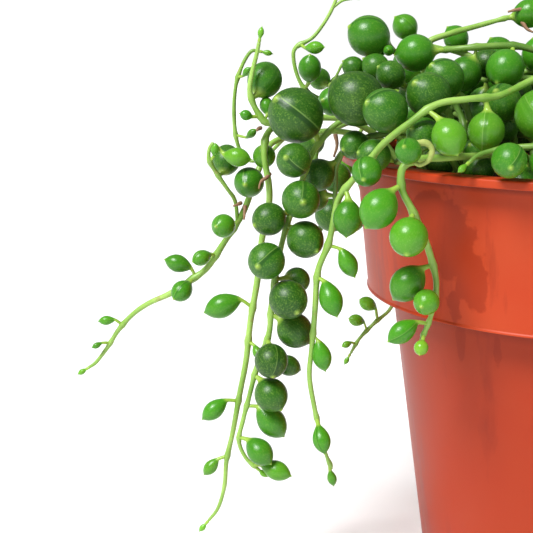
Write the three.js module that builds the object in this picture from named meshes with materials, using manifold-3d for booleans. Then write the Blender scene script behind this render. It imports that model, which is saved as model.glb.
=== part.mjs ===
// A string of pearls (a trailing succulent) growing in a round plastic nursery pot.
// Millimetres, +Z up. The origin is the centre of the pot's flat base; the rim's top is at POT.height.
// The plant is a set of strings rooted in the soil. A string is one stem, sometimes with a side shoot,
// and the leaves grown on it, so each string is one solid. SHOWN and HEADS are routed by hand on the
// side that faces -Y. The other strings come from one formula: creeping strings fill the mound over
// the soil and trailing strings hang over the rest of the rim.

import * as THREE from "three";
import { mergeVertices } from "three/addons/utils/BufferGeometryUtils.js";
import Module from "manifold-3d";

const wasm = await Module();
wasm.setup();

// ---------------------------------------------------------------- driving dimensions

const POT = {
  height: 95,
  wall: 1.2,
  floor: 1.5,
  rimRadius: 54,
  rimDepth: 1.8,
  collarDepth: 31.5, // from the rim's top to the collar's lower edge
  collarTopRadius: 50.3,
  collarLowRadius: 47.1,
  lip: 0.5, // bead along the collar's lower edge
  bodyTopRadius: 41.4, // just under the collar
  baseRadius: 32.4,
};
const DRAIN = { count: 8, radius: 3.5, ring: 21 };
const SOIL = { wallLevel: 87, middleLevel: 90, radius: 48 };
const GAP = 0.3; // clear space between two pieces that rest on each other
const ROOT_GAP = 1; // from the soil to the middle of a stem's cut foot

const STEM_RADIUS = 0.8;
const PETIOLE = 1.8; // from the stem's centreline to the near side of a leaf
const LEAF_ROOM = 0.6; // clear space from a leaf to another string
const STEM_ROOM = 1.1; // clear space between two stems
const DOME = { rise: 24, radius: 62 }; // height of the highest stems over the rim, and where it runs out

// A head's stem runs under its pearls on the side of this point, and is rooted a little further in.
const HEART = new THREE.Vector3(0, 0, 80);
const HEAD_ROOT_SHARE = 0.8;

const CREEPING = { count: 21, firstRoot: 3, lastRoot: 38, steps: 8, step: 7, swing: 0.5, reach: 52 };
const TRAILING = { count: 13, from: -1.8, span: 4.0, overRim: 46, nearest: 56.5, farthest: 62, step: 9 };
const RIM_CLEARANCE = 3.5; // from the rim's top to a creeping stem that is over it
const ATTEMPTS = 400; // routes tried for one string before giving up
const GOLDEN_ANGLE = Math.PI * (3 - Math.sqrt(5));
const LEAF_WAYS = 8; // directions tried round the stem for one leaf
const LEAF_FORWARD = 0.4; // how much a leaf leans towards its stem's tip
const LEAST_SHARE = 0.55; // a leaf with less room than this share of its size isn't grown

const POT_SIDES = 40;
const STEM_SIDES = 4;
const LEAF_SIDES = 5;
const LEAF_CORNER = 0.86; // radius of a leaf solid's two rings, as a share of the leaf's
const STRETCH = 7.5; // length of one straight stretch of a stem's solid
const SAMPLES = 6; // points taken along the curve between two route points

const FINISH = {
  pot: { color: 0xb9502f, roughness: 0.38, metalness: 0 },
  soil: { color: 0x2c1d14, roughness: 0.95, metalness: 0 },
  plant: { color: 0x4c8a2c, roughness: 0.45, metalness: 0 },
};

// ---------------------------------------------------------------- strings routed by hand

// stems: routes as [x, y, z]. leaves: [x, y, z of the middle, radius, slimness 0..1].
const SHOWN = {
  arching_string: {
    stems: [
      [
        [-9, -20, 90.5], [-7, -24, 102], [-9, -28, 112], [-13.5, -31, 115], [-19.5, -34.5, 113],
        [-26.5, -37, 110], [-32.5, -39, 109.5], [-39, -40, 108.5], [-44, -40, 105],
        [-48.5, -38, 101], [-51, -36.5, 97.5], [-54, -34.5, 93.5], [-56.5, -32, 89.5],
        [-57.5, -31, 84.5], [-58.5, -30, 79.5], [-60.5, -30, 74], [-61, -30, 66], [-61.5, -29, 58],
        [-62, -29, 51.5], [-61, -29, 45], [-60, -29, 40.5], [-58.5, -29, 34.5], [-57, -29, 30.5],
      ],
    ],
    leaves: [
      [-29.2, -39, 103.4, 3.7, 0], [-37, -43.5, 102.7, 3.5, 0.15], [-52, -41.5, 96, 3, 0],
      [-55, -35, 86, 3.2, 0.3], [-54.5, -30.5, 76, 2.4, 0.9], [-58, -32.5, 69, 2.9, 0.8],
      [-59.5, -29.5, 56, 2.5, 0.9], [-59.5, -32, 38.5, 2.3, 0.8], [-57, -29, 28.5, 1.3, 1],
    ],
  },
  full_string: {
    stems: [
      [
        [-36, -14, 89.5], [-41, -15, 98], [-48, -16, 103], [-55, -16, 103.5], [-60, -18, 99],
        [-62.5, -20, 94.5], [-64.5, -21, 88.5], [-66.5, -22, 83], [-68, -23, 77.5], [-69, -24, 72],
        [-70, -24, 65.5], [-70.5, -24, 59], [-73, -24, 52], [-74.5, -24, 46], [-76, -24, 40],
        [-77, -24, 35], [-75.5, -24, 31], [-73, -24, 28.5],
      ],
    ],
    leaves: [
      [-65, -21.5, 105.1, 6, 0], [-65.5, -26, 96.3, 3.7, 0], [-64, -27.5, 88.5, 4.1, 0],
      [-70.5, -25, 84, 3.6, 0], [-63, -26.5, 80, 4, 0], [-71, -29, 76, 4, 0],
      [-64.5, -20.5, 70, 2.9, 0], [-66.5, -29.5, 68, 4.2, 0], [-65, -24.5, 60, 3.9, 0],
      [-70, -28.5, 54.5, 3.7, 0], [-66.5, -22, 51.5, 2.6, 0.6], [-70, -27, 46.5, 3.7, 0],
      [-70, -24, 39.5, 3.5, 0.6], [-72.5, -26.5, 33.5, 3, 0.4], [-69, -26, 29, 2.6, 0.8],
    ],
  },
  long_string: {
    stems: [
      [
        [-39, -5, 89.5], [-45, -5.5, 98], [-52, -6, 102.5], [-59, -7, 103.5], [-66, -10, 103],
        [-70.5, -13, 101], [-71.5, -15.5, 96.5], [-70.5, -16, 90], [-70.5, -16, 85.5],
        [-72, -16.5, 78], [-73, -17, 69], [-74.5, -17, 60], [-75.5, -17, 51], [-77, -17, 43],
        [-78.5, -17, 34.5], [-80, -17, 27.5], [-80.5, -17, 21.5], [-82, -17, 16],
        [-84.5, -17, 12.5],
      ],
    ],
    leaves: [
      [-71.5, -11.5, 95.5, 2.6, 0], [-80.5, -17, 63.5, 3.2, 0.8], [-73, -19, 53.5, 1.3, 0.8],
      [-82.5, -18, 40, 2.5, 0.9], [-83.5, -17, 26, 1.8, 0.9],
    ],
  },
  reaching_string: {
    stems: [
      [
        [-38, 4, 89.5], [-46, 4.5, 97], [-55, 4.5, 99.5], [-63.5, 4, 98.5], [-70, 0, 97],
        [-73, -4, 91], [-75.5, -6, 84], [-77.5, -6, 80], [-80.5, -6, 75.5], [-84.5, -6, 69.5],
        [-88.5, -6, 66.5], [-93, -6, 63.5], [-98, -5, 61], [-102, -4, 58], [-105.5, -3, 54],
        [-108, -2, 50], [-111, -2, 46], [-113, -2, 44.5],
      ],
      [
        [-67, 2, 98], [-72, 5, 93], [-76, 6, 93], [-78, 6, 97.5], [-78.5, 6, 104], [-78, 6, 110],
        [-76.5, 6, 114.5], [-74.5, 6, 117.5], [-72.5, 6, 117.5],
      ],
      [
        [-77.5, -6, 80], [-78, -7, 85], [-79.7, -8.5, 88], [-82, -9.5, 91.6], [-83.5, -10.5, 94.6],
        [-83.4, -10.5, 97], [-82.4, -10.5, 98.3],
      ],
    ],
    leaves: [
      [-74.8, -10.5, 89.7, 3.6, 0.15], [-80, -4, 93.8, 3.5, 0.3], [-80.5, -10.5, 80, 2.8, 0.1],
      [-85.5, -9, 72.5, 2, 0.5], [-91, -6, 70.5, 2.4, 0.7], [-90, -9.5, 65, 2.5, 0.3],
      [-108, -3.5, 56.5, 1.4, 1], [-110.5, -3.5, 50.5, 0.9, 1], [-77.4, -12, 95.4, 2.4, 0.6],
      [-82.2, -11.5, 96.9, 1.1, 0.8], [-74.5, 3.5, 99, 1.2, 1], [-75.5, 3.5, 113, 1.1, 0.9],
    ],
  },
  rising_shoot: {
    stems: [
      [
        [-33, -10, 90], [-42, -10.5, 101], [-51, -10.5, 106.5], [-59.5, -11, 106.5],
        [-66, -14, 104.5], [-70.5, -16, 103], [-73, -16, 105.5], [-74.5, -16, 109.5],
        [-74, -16, 113.5], [-73, -16, 117.5], [-72.5, -16, 120],
      ],
    ],
    leaves: [
      [-57, -14.5, 107.5, 3.2, 0], [-71, -13.5, 106.5, 1.7, 0.5], [-75.3, -17.3, 104.8, 1.2, 0.2],
      [-71.4, -11.5, 111.8, 4, 0.1],
    ],
  },
  crossing_string: {
    stems: [
      [
        [-19, -27, 89.7], [-21, -31, 96], [-25, -34.5, 98.4], [-31.5, -37, 98.4],
        [-38, -40.5, 98.5], [-42.5, -43, 98.5], [-45.5, -44, 97], [-45.5, -43.5, 93],
        [-43.5, -43, 89], [-41, -42, 84], [-39, -41, 78.5], [-38, -41, 74], [-38.5, -41, 69],
        [-39.5, -41, 65.5], [-40.5, -41, 63],
      ],
    ],
    leaves: [
      [-29, -33, 95.4, 3.1, 0], [-45, -47.5, 100.5, 2.6, 0.1], [-50, -45.5, 89.5, 3.8, 0.2],
      [-44.5, -47.5, 84.5, 3.8, 0], [-43.5, -40.5, 74, 3.6, 0.3], [-40.5, -45.5, 71.5, 2.6, 0],
      [-44.5, -43, 65, 2.6, 0.8], [-41, -44, 62, 1.5, 0.1],
    ],
  },
  top_shoot: {
    stems: [
      [
        [-32, -1, 90], [-40, -1.5, 100], [-47, -2, 105], [-53.5, -2, 106.5], [-58, -2, 107],
        [-62, -2, 109], [-64, -2, 112], [-65, -2, 116], [-64.5, -2, 118.5], [-61, -2, 120.5],
        [-58.5, -2, 123.5], [-56.5, -2, 127], [-55, -2, 131],
      ],
      [
        [-56.5, -2, 127], [-54.5, -2, 128.5], [-52.5, -2, 129],
      ],
      [
        [-57.6, -2, 107], [-56.9, -2, 109.2], [-55.6, -2, 112], [-54.2, -2, 115],
      ],
    ],
    leaves: [
      [-61.5, -4.5, 114, 2.8, 0.3], [-59, 2, 111.5, 2.6, 0.1], [-54.5, 3.5, 110, 2.4, 0],
      [-60.5, -4.5, 118.5, 1.7, 0.8],
    ],
  },
  back_string: {
    stems: [
      [
        [-24, 22, 90.5], [-29, 27, 99], [-35, 33, 102], [-42, 40, 100], [-46, 42.5, 96],
        [-47, 42.5, 90], [-46, 42, 83], [-44, 41, 75], [-41.5, 38.5, 66], [-37, 34, 56],
        [-38, 31.5, 50.5], [-42.5, 29, 47], [-46.5, 28, 43], [-49, 28, 38.5],
      ],
    ],
    leaves: [
      [-50, 38.5, 88, 3.3, 0], [-42, 44.5, 79, 3.6, 0], [-48, 37, 73, 3.3, 0.2],
      [-37, 39.5, 62, 2.8, 0.3], [-44.5, 27.5, 52.5, 2.2, 0.8], [-47.5, 26, 48.5, 1.9, 0.8],
      [-50, 26, 42, 1.1, 0.8],
    ],
  },
  shaded_string: {
    stems: [
      [
        [-31, 12, 90.5], [-38, 14.5, 98], [-46, 17, 101], [-53, 19, 99.5], [-58, 21, 95],
        [-59, 21.5, 88], [-58, 22, 81], [-57.5, 22, 75.5],
      ],
    ],
    leaves: [
      [-60, 26, 95, 3.8, 0], [-54, 18, 87, 3.9, 0], [-55, 18.5, 77.5, 4.2, 0],
      [-62, 18, 83, 3.5, 0.3],
    ],
  },
  tucked_string: {
    stems: [
      [
        [-29, -17, 90], [-35, -18.5, 97], [-40, -19, 101], [-47, -20, 101], [-53.5, -18.5, 98.5],
        [-56, -15.5, 94.5], [-56, -12.5, 89.5], [-56, -10, 84],
      ],
    ],
    leaves: [
      [-41, -18, 105, 2.8, 0], [-53, -23.5, 99.2, 3.1, 0], [-60, -16, 92, 3.6, 0],
      [-60.5, -8.5, 86, 3.3, 0],
    ],
  },
  brim_string: {
    stems: [
      [
        [-8, -34, 90.5], [-9, -39, 97], [-13, -43, 101], [-20, -44, 101], [-26, -43, 100.5],
        [-31, -43.5, 99.5], [-33.5, -45, 98],
      ],
    ],
    leaves: [
      [-18.9, -38, 106.4, 5, 0], [-14, -46.5, 98.5, 3, 0], [-20.3, -47.5, 98.5, 2.6, 0],
      [-26.7, -48.5, 98.9, 3.4, 0],
    ],
  },
  level_string: {
    stems: [
      [
        [-2, -9, 91], [-3, -12, 105], [-8, -15, 115], [-15, -16, 118], [-19, -16, 119],
        [-24, -16, 119], [-30.5, -15.5, 118.5], [-35.5, -11, 118], [-40, -7.5, 118],
        [-44.5, -6.5, 117.5],
      ],
    ],
    leaves: [
      [-22, -20, 114.5, 4.1, 0], [-29.3, -15, 113.3, 3.7, 0], [-39.5, -12.5, 117.5, 4.1, 0],
      [-49, -8, 121, 4.6, 0], [-45, -11, 118, 1.2, 0],
    ],
  },
  upper_string: {
    stems: [
      [
        [-27, -2, 90.5], [-33, -4, 105], [-37, -5, 115], [-36, -5.5, 119.5], [-31, -5, 121.5],
        [-25.5, -4, 123], [-20, -4, 124.5], [-16, -4, 125.5],
      ],
    ],
    leaves: [
      [-13.8, -4, 125.8, 3.4, 0.2],
    ],
  },
};

// The pearls that show on top of the mound, as [x, y, z, radius]. Their stem runs just under them.
const HEADS = {
  rim_head: [
    [-28.2, -27, 98.5, 2.9], [-35.8, -27, 96.5, 3.6], [-39.2, -31, 109.8, 4.6],
    [-48, -34.5, 107, 4.5], [-52.9, -25.5, 108.7, 5.8],
  ],
  crest_head: [
    [-35, -23, 112.6, 4.3], [-45.5, -20, 113.2, 3.1], [-48, -14.5, 114.6, 3],
    [-52.5, -11.5, 114.5, 2.5],
  ],
  shoulder_head: [
    [-22.3, -22.5, 102.7, 3.2], [-24.2, -29, 108.1, 4],
  ],
  edge_head: [
    [-40.8, -37, 102.6, 3.5], [-49.6, -30, 97.7, 3.5],
  ],
  summit_head: [
    [-12, -6, 117, 3.6], [-20, -4, 117.5, 3.4], [-28.5, 2, 120.5, 2.9], [-40, 2, 123, 2.9],
  ],
};

// ---------------------------------------------------------------- curves and directions

const at = (p) => new THREE.Vector3(p[0], p[1], p[2]);
const polar = (radius, azimuth, z) => (
  new THREE.Vector3(radius * Math.cos(azimuth), radius * Math.sin(azimuth), z)
);

function curveThrough(route) {
  return new THREE.CatmullRomCurve3(route, false, "catmullrom", 0.5);
}

function trace(route) {
  return curveThrough(route).getPoints((route.length - 1) * SAMPLES);
}

// A leaf leaves the stem a little before the point nearest to its middle.
function footOf(line, middle, reach) {
  let nearest = line[0];
  for (const point of line) {
    if (point.distanceTo(middle) <= reach) return point;
    if (point.distanceTo(middle) < nearest.distanceTo(middle)) nearest = point;
  }
  return nearest;
}

// A leaf keeps its volume: a slimmer one is longer.
const halfWidth = (leaf) => leaf.radius * (1 - 0.3 * leaf.slim);
const halfLength = (leaf) => leaf.radius * (1 + 0.35 * leaf.slim);

// ---------------------------------------------------------------- pot and soil

function potProfile() {
  const { height, wall, floor, rimRadius, rimDepth, lip, bodyTopRadius, baseRadius } = POT;
  const step = height - POT.collarDepth;
  const throat = POT.collarTopRadius - wall;
  return [
    [0, 0], [baseRadius - 0.8, 0], [baseRadius, 0.8], [bodyTopRadius, step],
    [POT.collarLowRadius + lip, step], [POT.collarLowRadius + lip, step + 1], [POT.collarLowRadius, step + 1.5],
    [POT.collarTopRadius, height - rimDepth], [rimRadius - 0.4, height - rimDepth],
    [rimRadius, height - rimDepth + 0.4], [rimRadius, height - 0.4], [rimRadius - 0.4, height],
    [throat + 0.4, height], [throat, height - 0.4], [POT.collarLowRadius - wall, step + wall],
    [bodyTopRadius - wall, step + wall], [baseRadius - wall, floor], [0, floor],
  ];
}

function soilProfile() {
  const ledge = POT.height - POT.collarDepth + POT.wall + GAP;
  const inside = POT.wall + GAP;
  return [
    [0, POT.floor + GAP], [POT.baseRadius - inside, POT.floor + GAP], [POT.bodyTopRadius - inside, ledge],
    [POT.collarLowRadius - inside, ledge],
    ...[1, 0.75, 0.5, 0.25, 0].map((share) => [share * SOIL.radius, soilLevel(share * SOIL.radius)]),
  ];
}

function soilLevel(radius) {
  return SOIL.middleLevel - (SOIL.middleLevel - SOIL.wallLevel) * (radius / SOIL.radius) ** 2;
}

function turned(profile, sides) {
  return new THREE.LatheGeometry(profile.map(([r, z]) => new THREE.Vector2(r, z)), sides).rotateX(Math.PI / 2);
}

function solid(geometry) {
  const bare = geometry.clone();
  bare.deleteAttribute("normal");
  bare.deleteAttribute("uv");
  const merged = mergeVertices(bare, 1e-4);
  return new wasm.Manifold(
    new wasm.Mesh({
      numProp: 3,
      vertProperties: new Float32Array(merged.attributes.position.array),
      triVerts: new Uint32Array(merged.index.array),
    }),
  );
}

function potSolid() {
  let pot = solid(turned(potProfile(), POT_SIDES));
  for (let i = 0; i < DRAIN.count; i += 1) {
    const hole = new THREE.CylinderGeometry(DRAIN.radius, DRAIN.radius, 4 * POT.floor, 16).rotateX(Math.PI / 2);
    const centre = polar(DRAIN.ring, (2 * Math.PI * i) / DRAIN.count, 0);
    pot = pot.subtract(solid(hole.translate(centre.x, centre.y, centre.z)));
  }
  return pot;
}

// ---------------------------------------------------------------- room around the grown pieces

// Every string so far: its name, the routes of its stems, the sampled line of each, and its leaves.
const placed = [];

function distanceToSegment(x, y, [ax, ay], [bx, by]) {
  const along = ((x - ax) * (bx - ax) + (y - ay) * (by - ay)) / ((bx - ax) ** 2 + (by - ay) ** 2);
  const t = Math.min(1, Math.max(0, along));
  return Math.hypot(x - ax - t * (bx - ax), y - ay - t * (by - ay));
}

// Distance from a point to the pot's outside, its rim and the soil, negative inside them.
function roomOverPot(point) {
  const radius = Math.hypot(point.x, point.y);
  const step = POT.height - POT.collarDepth;
  const throat = POT.collarTopRadius - POT.wall;
  const skin = [
    [POT.baseRadius, 0], [POT.bodyTopRadius, step], [POT.collarLowRadius + POT.lip, step],
    [POT.collarTopRadius, POT.height - POT.rimDepth], [POT.rimRadius, POT.height - POT.rimDepth],
    [POT.rimRadius, POT.height], [throat, POT.height], [throat, soilLevel(throat)], [0, SOIL.middleLevel],
  ];
  let room = Infinity;
  for (let i = 1; i < skin.length; i += 1) {
    room = Math.min(room, distanceToSegment(radius, point.z, skin[i - 1], skin[i]));
  }
  const inSoil = radius < throat && point.z < soilLevel(radius);
  const rimBase = POT.height - POT.rimDepth;
  const inWall = radius < POT.rimRadius && radius > throat && point.z < POT.height && point.z > rimBase;
  const inPot = radius < POT.collarLowRadius && point.z < rimBase && point.z > step;
  return inSoil || inWall || inPot ? -room : room;
}

// The largest radius that a ball at this point may have.
function roomAt(point, own) {
  let room = roomOverPot(point) - LEAF_ROOM;
  for (const string of placed) {
    const other = string !== own;
    if (other) {
      for (const line of string.lines) {
        for (const sample of line) {
          room = Math.min(room, sample.distanceTo(point) - STEM_RADIUS - LEAF_ROOM);
        }
      }
    }
    for (const leaf of string.leaves) {
      room = Math.min(room, leaf.middle.distanceTo(point) - leaf.radius - (other ? LEAF_ROOM : 0));
    }
  }
  return room;
}

function isStemClear(line, others) {
  return line.every((point, i) => {
    const buried = i < SAMPLES;
    if (!buried && roomOverPot(point) < STEM_RADIUS + LEAF_ROOM) return false;
    return others.every((string) => (
      string.lines.flat().every((sample) => sample.distanceTo(point) >= 2 * STEM_RADIUS + STEM_ROOM)
      && string.leaves.every((leaf) => leaf.middle.distanceTo(point) >= leaf.radius + STEM_RADIUS + LEAF_ROOM)
    ));
  });
}

// ---------------------------------------------------------------- strings made by formula

let seed = 2026;
function random() {
  seed = (seed * 1664525 + 1013904223) % 4294967296;
  return seed / 4294967296;
}
const between = (low, high) => low + (high - low) * random();

const domeLevel = (radius) => POT.height + DOME.rise * (1 - (radius / DOME.radius) ** 2);

// Rises out of the soil to its share of the dome's height and wanders over the mound.
function creepingRoute(index) {
  const azimuth = index * GOLDEN_ANGLE + between(-0.3, 0.3);
  const spread = CREEPING.lastRoot - CREEPING.firstRoot;
  const start = CREEPING.firstRoot + spread * Math.sqrt((index + 0.5) / CREEPING.count);
  const share = between(0.45, 1);
  const route = [polar(start, azimuth, soilLevel(start) + ROOT_GAP)];
  let position = polar(start + 1, azimuth, 0);
  let heading = between(0, 2 * Math.PI);
  for (let i = 0; i < CREEPING.steps; i += 1) {
    const radius = Math.hypot(position.x, position.y);
    const rise = Math.min(1, 0.55 + 0.25 * i) * share;
    const level = soilLevel(radius) + rise * (domeLevel(radius) - soilLevel(radius));
    const lowest = radius > 42 ? POT.height + RIM_CLEARANCE : 0;
    route.push(new THREE.Vector3(position.x, position.y, Math.max(level, lowest)));
    position = position.clone().add(polar(CREEPING.step, heading, 0));
    heading += between(-CREEPING.swing, CREEPING.swing);
    if (position.length() > CREEPING.reach) break;
  }
  return route;
}

// Climbs to the rim, bends over it and hangs down outside the pot.
function trailingRoute(index) {
  const azimuth = TRAILING.from + (TRAILING.span * (index + between(0.25, 0.75))) / TRAILING.count;
  const start = between(16, 34);
  const hang = between(57, 60.5);
  const end = between(14, 72);
  const lift = between(2.5, 8);
  const route = [
    polar(start, azimuth + between(-0.2, 0.2), soilLevel(start) + ROOT_GAP),
    polar(start + 5, azimuth, POT.height + lift),
    polar(TRAILING.overRim, azimuth, POT.height + lift + 1.5),
    polar(hang - 2.5, azimuth, POT.height + 0.5 * lift + 1.5),
  ];
  let radius = hang;
  let swing = azimuth;
  for (let z = POT.height - 2; z > end; z -= TRAILING.step) {
    route.push(polar(radius, swing, z));
    radius = Math.min(TRAILING.farthest, Math.max(TRAILING.nearest, radius + between(-1.2, 1.2)));
    swing += between(-0.045, 0.045);
  }
  return route;
}

function growStem(name, makeRoute, others) {
  for (let attempt = 0; attempt < ATTEMPTS; attempt += 1) {
    const route = makeRoute();
    const line = trace(route);
    if (isStemClear(line, others)) return { name, routes: [route], lines: [line], leaves: [] };
  }
  throw new Error(`no clear route for ${name}`);
}

// Leaves follow each other round the stem by the golden angle and get smaller and slimmer to the tip.
function growLeaves(string, habit) {
  const line = string.lines[0];
  const last = line.length - 1;
  let travelled = 0;
  let next = habit.bare;
  let turn = habit.turn;
  const total = line.slice(1).reduce((sum, point, i) => sum + point.distanceTo(line[i]), 0);
  for (let i = 1; i < last; i += 1) {
    travelled += line[i].distanceTo(line[i - 1]);
    if (travelled < next || total - travelled < 2) continue;
    const age = 1 - travelled / total;
    const radius = habit.radius * between(0.8, 1.12) * (0.55 + 0.45 * Math.min(1, 2.5 * age));
    const slim = Math.min(1, habit.slim + 0.5 * (1 - Math.min(1, 2.5 * age)));
    next = travelled + habit.spacing * between(0.75, 1.2);
    turn += GOLDEN_ANGLE;
    const along = line[i + 1].clone().sub(line[i - 1]).normalize();
    const across = along.clone().cross(new THREE.Vector3(0.31, 0.22, 0.93)).normalize();
    const over = along.clone().cross(across);
    let best = null;
    for (let k = 0; k < LEAF_WAYS; k += 1) {
      const angle = turn + (2 * Math.PI * k) / LEAF_WAYS;
      const way = across.clone().multiplyScalar(Math.cos(angle)).addScaledVector(over, Math.sin(angle));
      way.addScaledVector(along, LEAF_FORWARD).normalize();
      const leaf = { foot: line[i], radius, slim };
      leaf.middle = line[i].clone().addScaledVector(way, PETIOLE + halfLength(leaf));
      const room = roomAt(leaf.middle, string);
      if (!best || room > best.room) best = { ...leaf, room };
      if (room >= radius) break;
    }
    if (best.room < LEAST_SHARE * radius) continue;
    const fitted = Math.min(radius, best.room);
    string.leaves.push({ foot: best.foot, middle: best.middle, radius: fitted, slim: best.slim });
  }
}

// ---------------------------------------------------------------- growing the plant

for (const [name, shown] of Object.entries(SHOWN)) {
  const routes = shown.stems.map((stem) => stem.map(at));
  placed.push({ name, routes, lines: routes.map(trace), leaves: [], wanted: shown.leaves });
}
for (const [name, pearls] of Object.entries(HEADS)) {
  const route = pearls.map((pearl) => {
    const inward = HEART.clone().sub(at(pearl)).normalize();
    return at(pearl).addScaledVector(inward, pearl[3] + PETIOLE);
  });
  const root = route[0].clone().multiplyScalar(HEAD_ROOT_SHARE);
  root.z = soilLevel(Math.hypot(root.x, root.y)) + ROOT_GAP;
  route.unshift(root);
  placed.push({ name, routes: [route], lines: [trace(route)], leaves: [], wanted: pearls });
}
for (const string of placed) {
  for (const [x, y, z, radius, slim = 0] of string.wanted) {
    const leaf = { middle: new THREE.Vector3(x, y, z), radius, slim };
    leaf.radius = Math.min(radius, roomAt(leaf.middle, string));
    leaf.foot = footOf(string.lines.flat(), leaf.middle, 1.1 * (PETIOLE + halfLength(leaf)));
    string.leaves.push(leaf);
  }
}
const handRouted = placed.length;
for (let i = 0; i < TRAILING.count; i += 1) {
  placed.push(growStem(`trailing_string_${i + 1}`, () => trailingRoute(i), placed));
}
for (let i = 0; i < CREEPING.count; i += 1) {
  placed.push(growStem(`creeping_string_${i + 1}`, () => creepingRoute(i), placed));
}
for (const string of placed.slice(handRouted)) {
  const creeps = string.name.startsWith("creeping");
  const full = random() < (creeps ? 0.8 : 0.6);
  growLeaves(string, {
    bare: creeps ? 5 : 9,
    turn: between(0, 2 * Math.PI),
    radius: full ? between(3.4, creeps ? 5 : 4.3) : between(2.4, 3.3),
    slim: full ? 0 : between(0.3, 0.8),
    spacing: full ? 6 : 8.5,
  });
}

// ---------------------------------------------------------------- solids of the strings

const stretches = (curve) => Math.ceil(curve.getLength() / STRETCH);

function stemSolid(route) {
  const curve = curveThrough(route);
  const corners = Array.from({ length: STEM_SIDES }, (_, i) => {
    const angle = (2 * Math.PI * i) / STEM_SIDES;
    return new THREE.Vector2(STEM_RADIUS * Math.cos(angle), STEM_RADIUS * Math.sin(angle));
  });
  const settings = { steps: stretches(curve), extrudePath: curve };
  return solid(new THREE.ExtrudeGeometry(new THREE.Shape(corners), settings));
}

// The point nearest to the leaf's foot on the straight stretches that the stem's solid is made of.
function footOnStretches(leaf, string) {
  let best = null;
  for (const route of string.routes) {
    const curve = curveThrough(route);
    const points = curve.getSpacedPoints(stretches(curve));
    for (let i = 1; i < points.length; i += 1) {
      const stretch = new THREE.Line3(points[i - 1], points[i]);
      const share = THREE.MathUtils.clamp(stretch.closestPointToPointParameter(leaf.foot, true), 0.08, 0.92);
      const point = stretch.at(share, new THREE.Vector3());
      if (!best || point.distanceTo(leaf.foot) < best.distanceTo(leaf.foot)) best = point;
    }
  }
  return best;
}

function leafSolid(leaf, string) {
  const foot = footOnStretches(leaf, string);
  const way = leaf.middle.clone().sub(foot);
  const start = way.length() - halfLength(leaf);
  const profile = [
    [0, 0.15], [LEAF_CORNER * halfWidth(leaf), start + 0.5 * halfLength(leaf)],
    [LEAF_CORNER * halfWidth(leaf), start + 1.5 * halfLength(leaf)], [0, start + 2 * halfLength(leaf)],
  ];
  const body = new THREE.LatheGeometry(profile.map(([r, z]) => new THREE.Vector2(r, z)), LEAF_SIDES);
  const turn = new THREE.Quaternion().setFromUnitVectors(new THREE.Vector3(0, 1, 0), way.normalize());
  return solid(body.applyQuaternion(turn).translate(foot.x, foot.y, foot.z));
}

function stringSolid(string) {
  const leaves = string.leaves.map((leaf) => leafSolid(leaf, string));
  const parts = [...string.routes.map(stemSolid), ...leaves];
  return parts.reduce((whole, part) => whole.add(part));
}

// ---------------------------------------------------------------- assembly

const group = new THREE.Group();
group.name = "potted_string_of_pearls";

function addNode(name, manifold, finish) {
  const { vertProperties, triVerts } = manifold.getMesh();
  const geometry = new THREE.BufferGeometry();
  geometry.setAttribute("position", new THREE.BufferAttribute(vertProperties, 3));
  geometry.setIndex(new THREE.BufferAttribute(triVerts, 1));
  const mesh = new THREE.Mesh(geometry, new THREE.MeshStandardMaterial(finish));
  mesh.name = name;
  group.add(mesh);
}

addNode("pot", potSolid(), FINISH.pot);
addNode("soil", solid(turned(soilProfile(), POT_SIDES)), FINISH.soil);
for (const string of placed) addNode(string.name, stringSolid(string), FINISH.plant);

export default group;
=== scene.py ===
# %% [markdown]
# # A string of pearls in a nursery pot
# The plant is a trailing succulent. Its stems creep over the soil, climb over the rim and hang down, and
# each leaf on them is a round, water-filled pearl with a small pointed tip. It stands in a plain plastic
# nursery pot. The CAD model holds every piece's place and size; this lesson gives each one its real shape
# and surface. All lengths in the tables are millimetres, and Blender works in metres.

import math
import random

import bmesh
import bpy
import numpy as np
from mathutils import Matrix, Vector, noise


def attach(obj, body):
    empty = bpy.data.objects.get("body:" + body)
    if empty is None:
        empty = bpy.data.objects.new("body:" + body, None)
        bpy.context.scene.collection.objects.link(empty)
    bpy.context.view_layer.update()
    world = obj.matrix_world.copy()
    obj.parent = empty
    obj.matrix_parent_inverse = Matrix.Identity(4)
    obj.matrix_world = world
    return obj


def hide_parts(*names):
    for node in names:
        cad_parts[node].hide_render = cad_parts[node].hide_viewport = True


MM = 0.001
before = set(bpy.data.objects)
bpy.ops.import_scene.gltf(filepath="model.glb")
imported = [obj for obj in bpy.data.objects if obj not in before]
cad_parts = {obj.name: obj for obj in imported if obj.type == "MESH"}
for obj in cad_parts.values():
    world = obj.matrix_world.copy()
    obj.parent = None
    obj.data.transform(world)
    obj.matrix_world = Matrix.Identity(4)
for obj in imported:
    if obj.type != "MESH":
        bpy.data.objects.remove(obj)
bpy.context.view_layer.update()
print("CAD nodes:", len(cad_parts))

# %% [markdown]
# ## Colours and nodes
# A colour picked on a screen is in sRGB, while a shader adds up light, which is linear. One function
# turns a hex value into the linear colour that a socket wants. Another adds a node and feeds its inputs,
# so that a material reads as a short list of what it is made of.

# %% Colour and node helpers
def colour(hex_value):
    parts = [int(hex_value[i : i + 2], 16) / 255 for i in (1, 3, 5)]
    return [c / 12.92 if c <= 0.04045 else ((c + 0.055) / 1.055) ** 2.4 for c in parts] + [1]


def feed(tree, node, inputs):
    """Sets inputs to values, or links them to sockets or to the first output of other nodes."""
    for name, value in inputs.items():
        if isinstance(value, bpy.types.Node):
            value = next(socket for socket in value.outputs if socket.enabled)
        if isinstance(value, bpy.types.NodeSocket):
            tree.links.new(value, node.inputs[name])
        else:
            node.inputs[name].default_value = value


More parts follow.
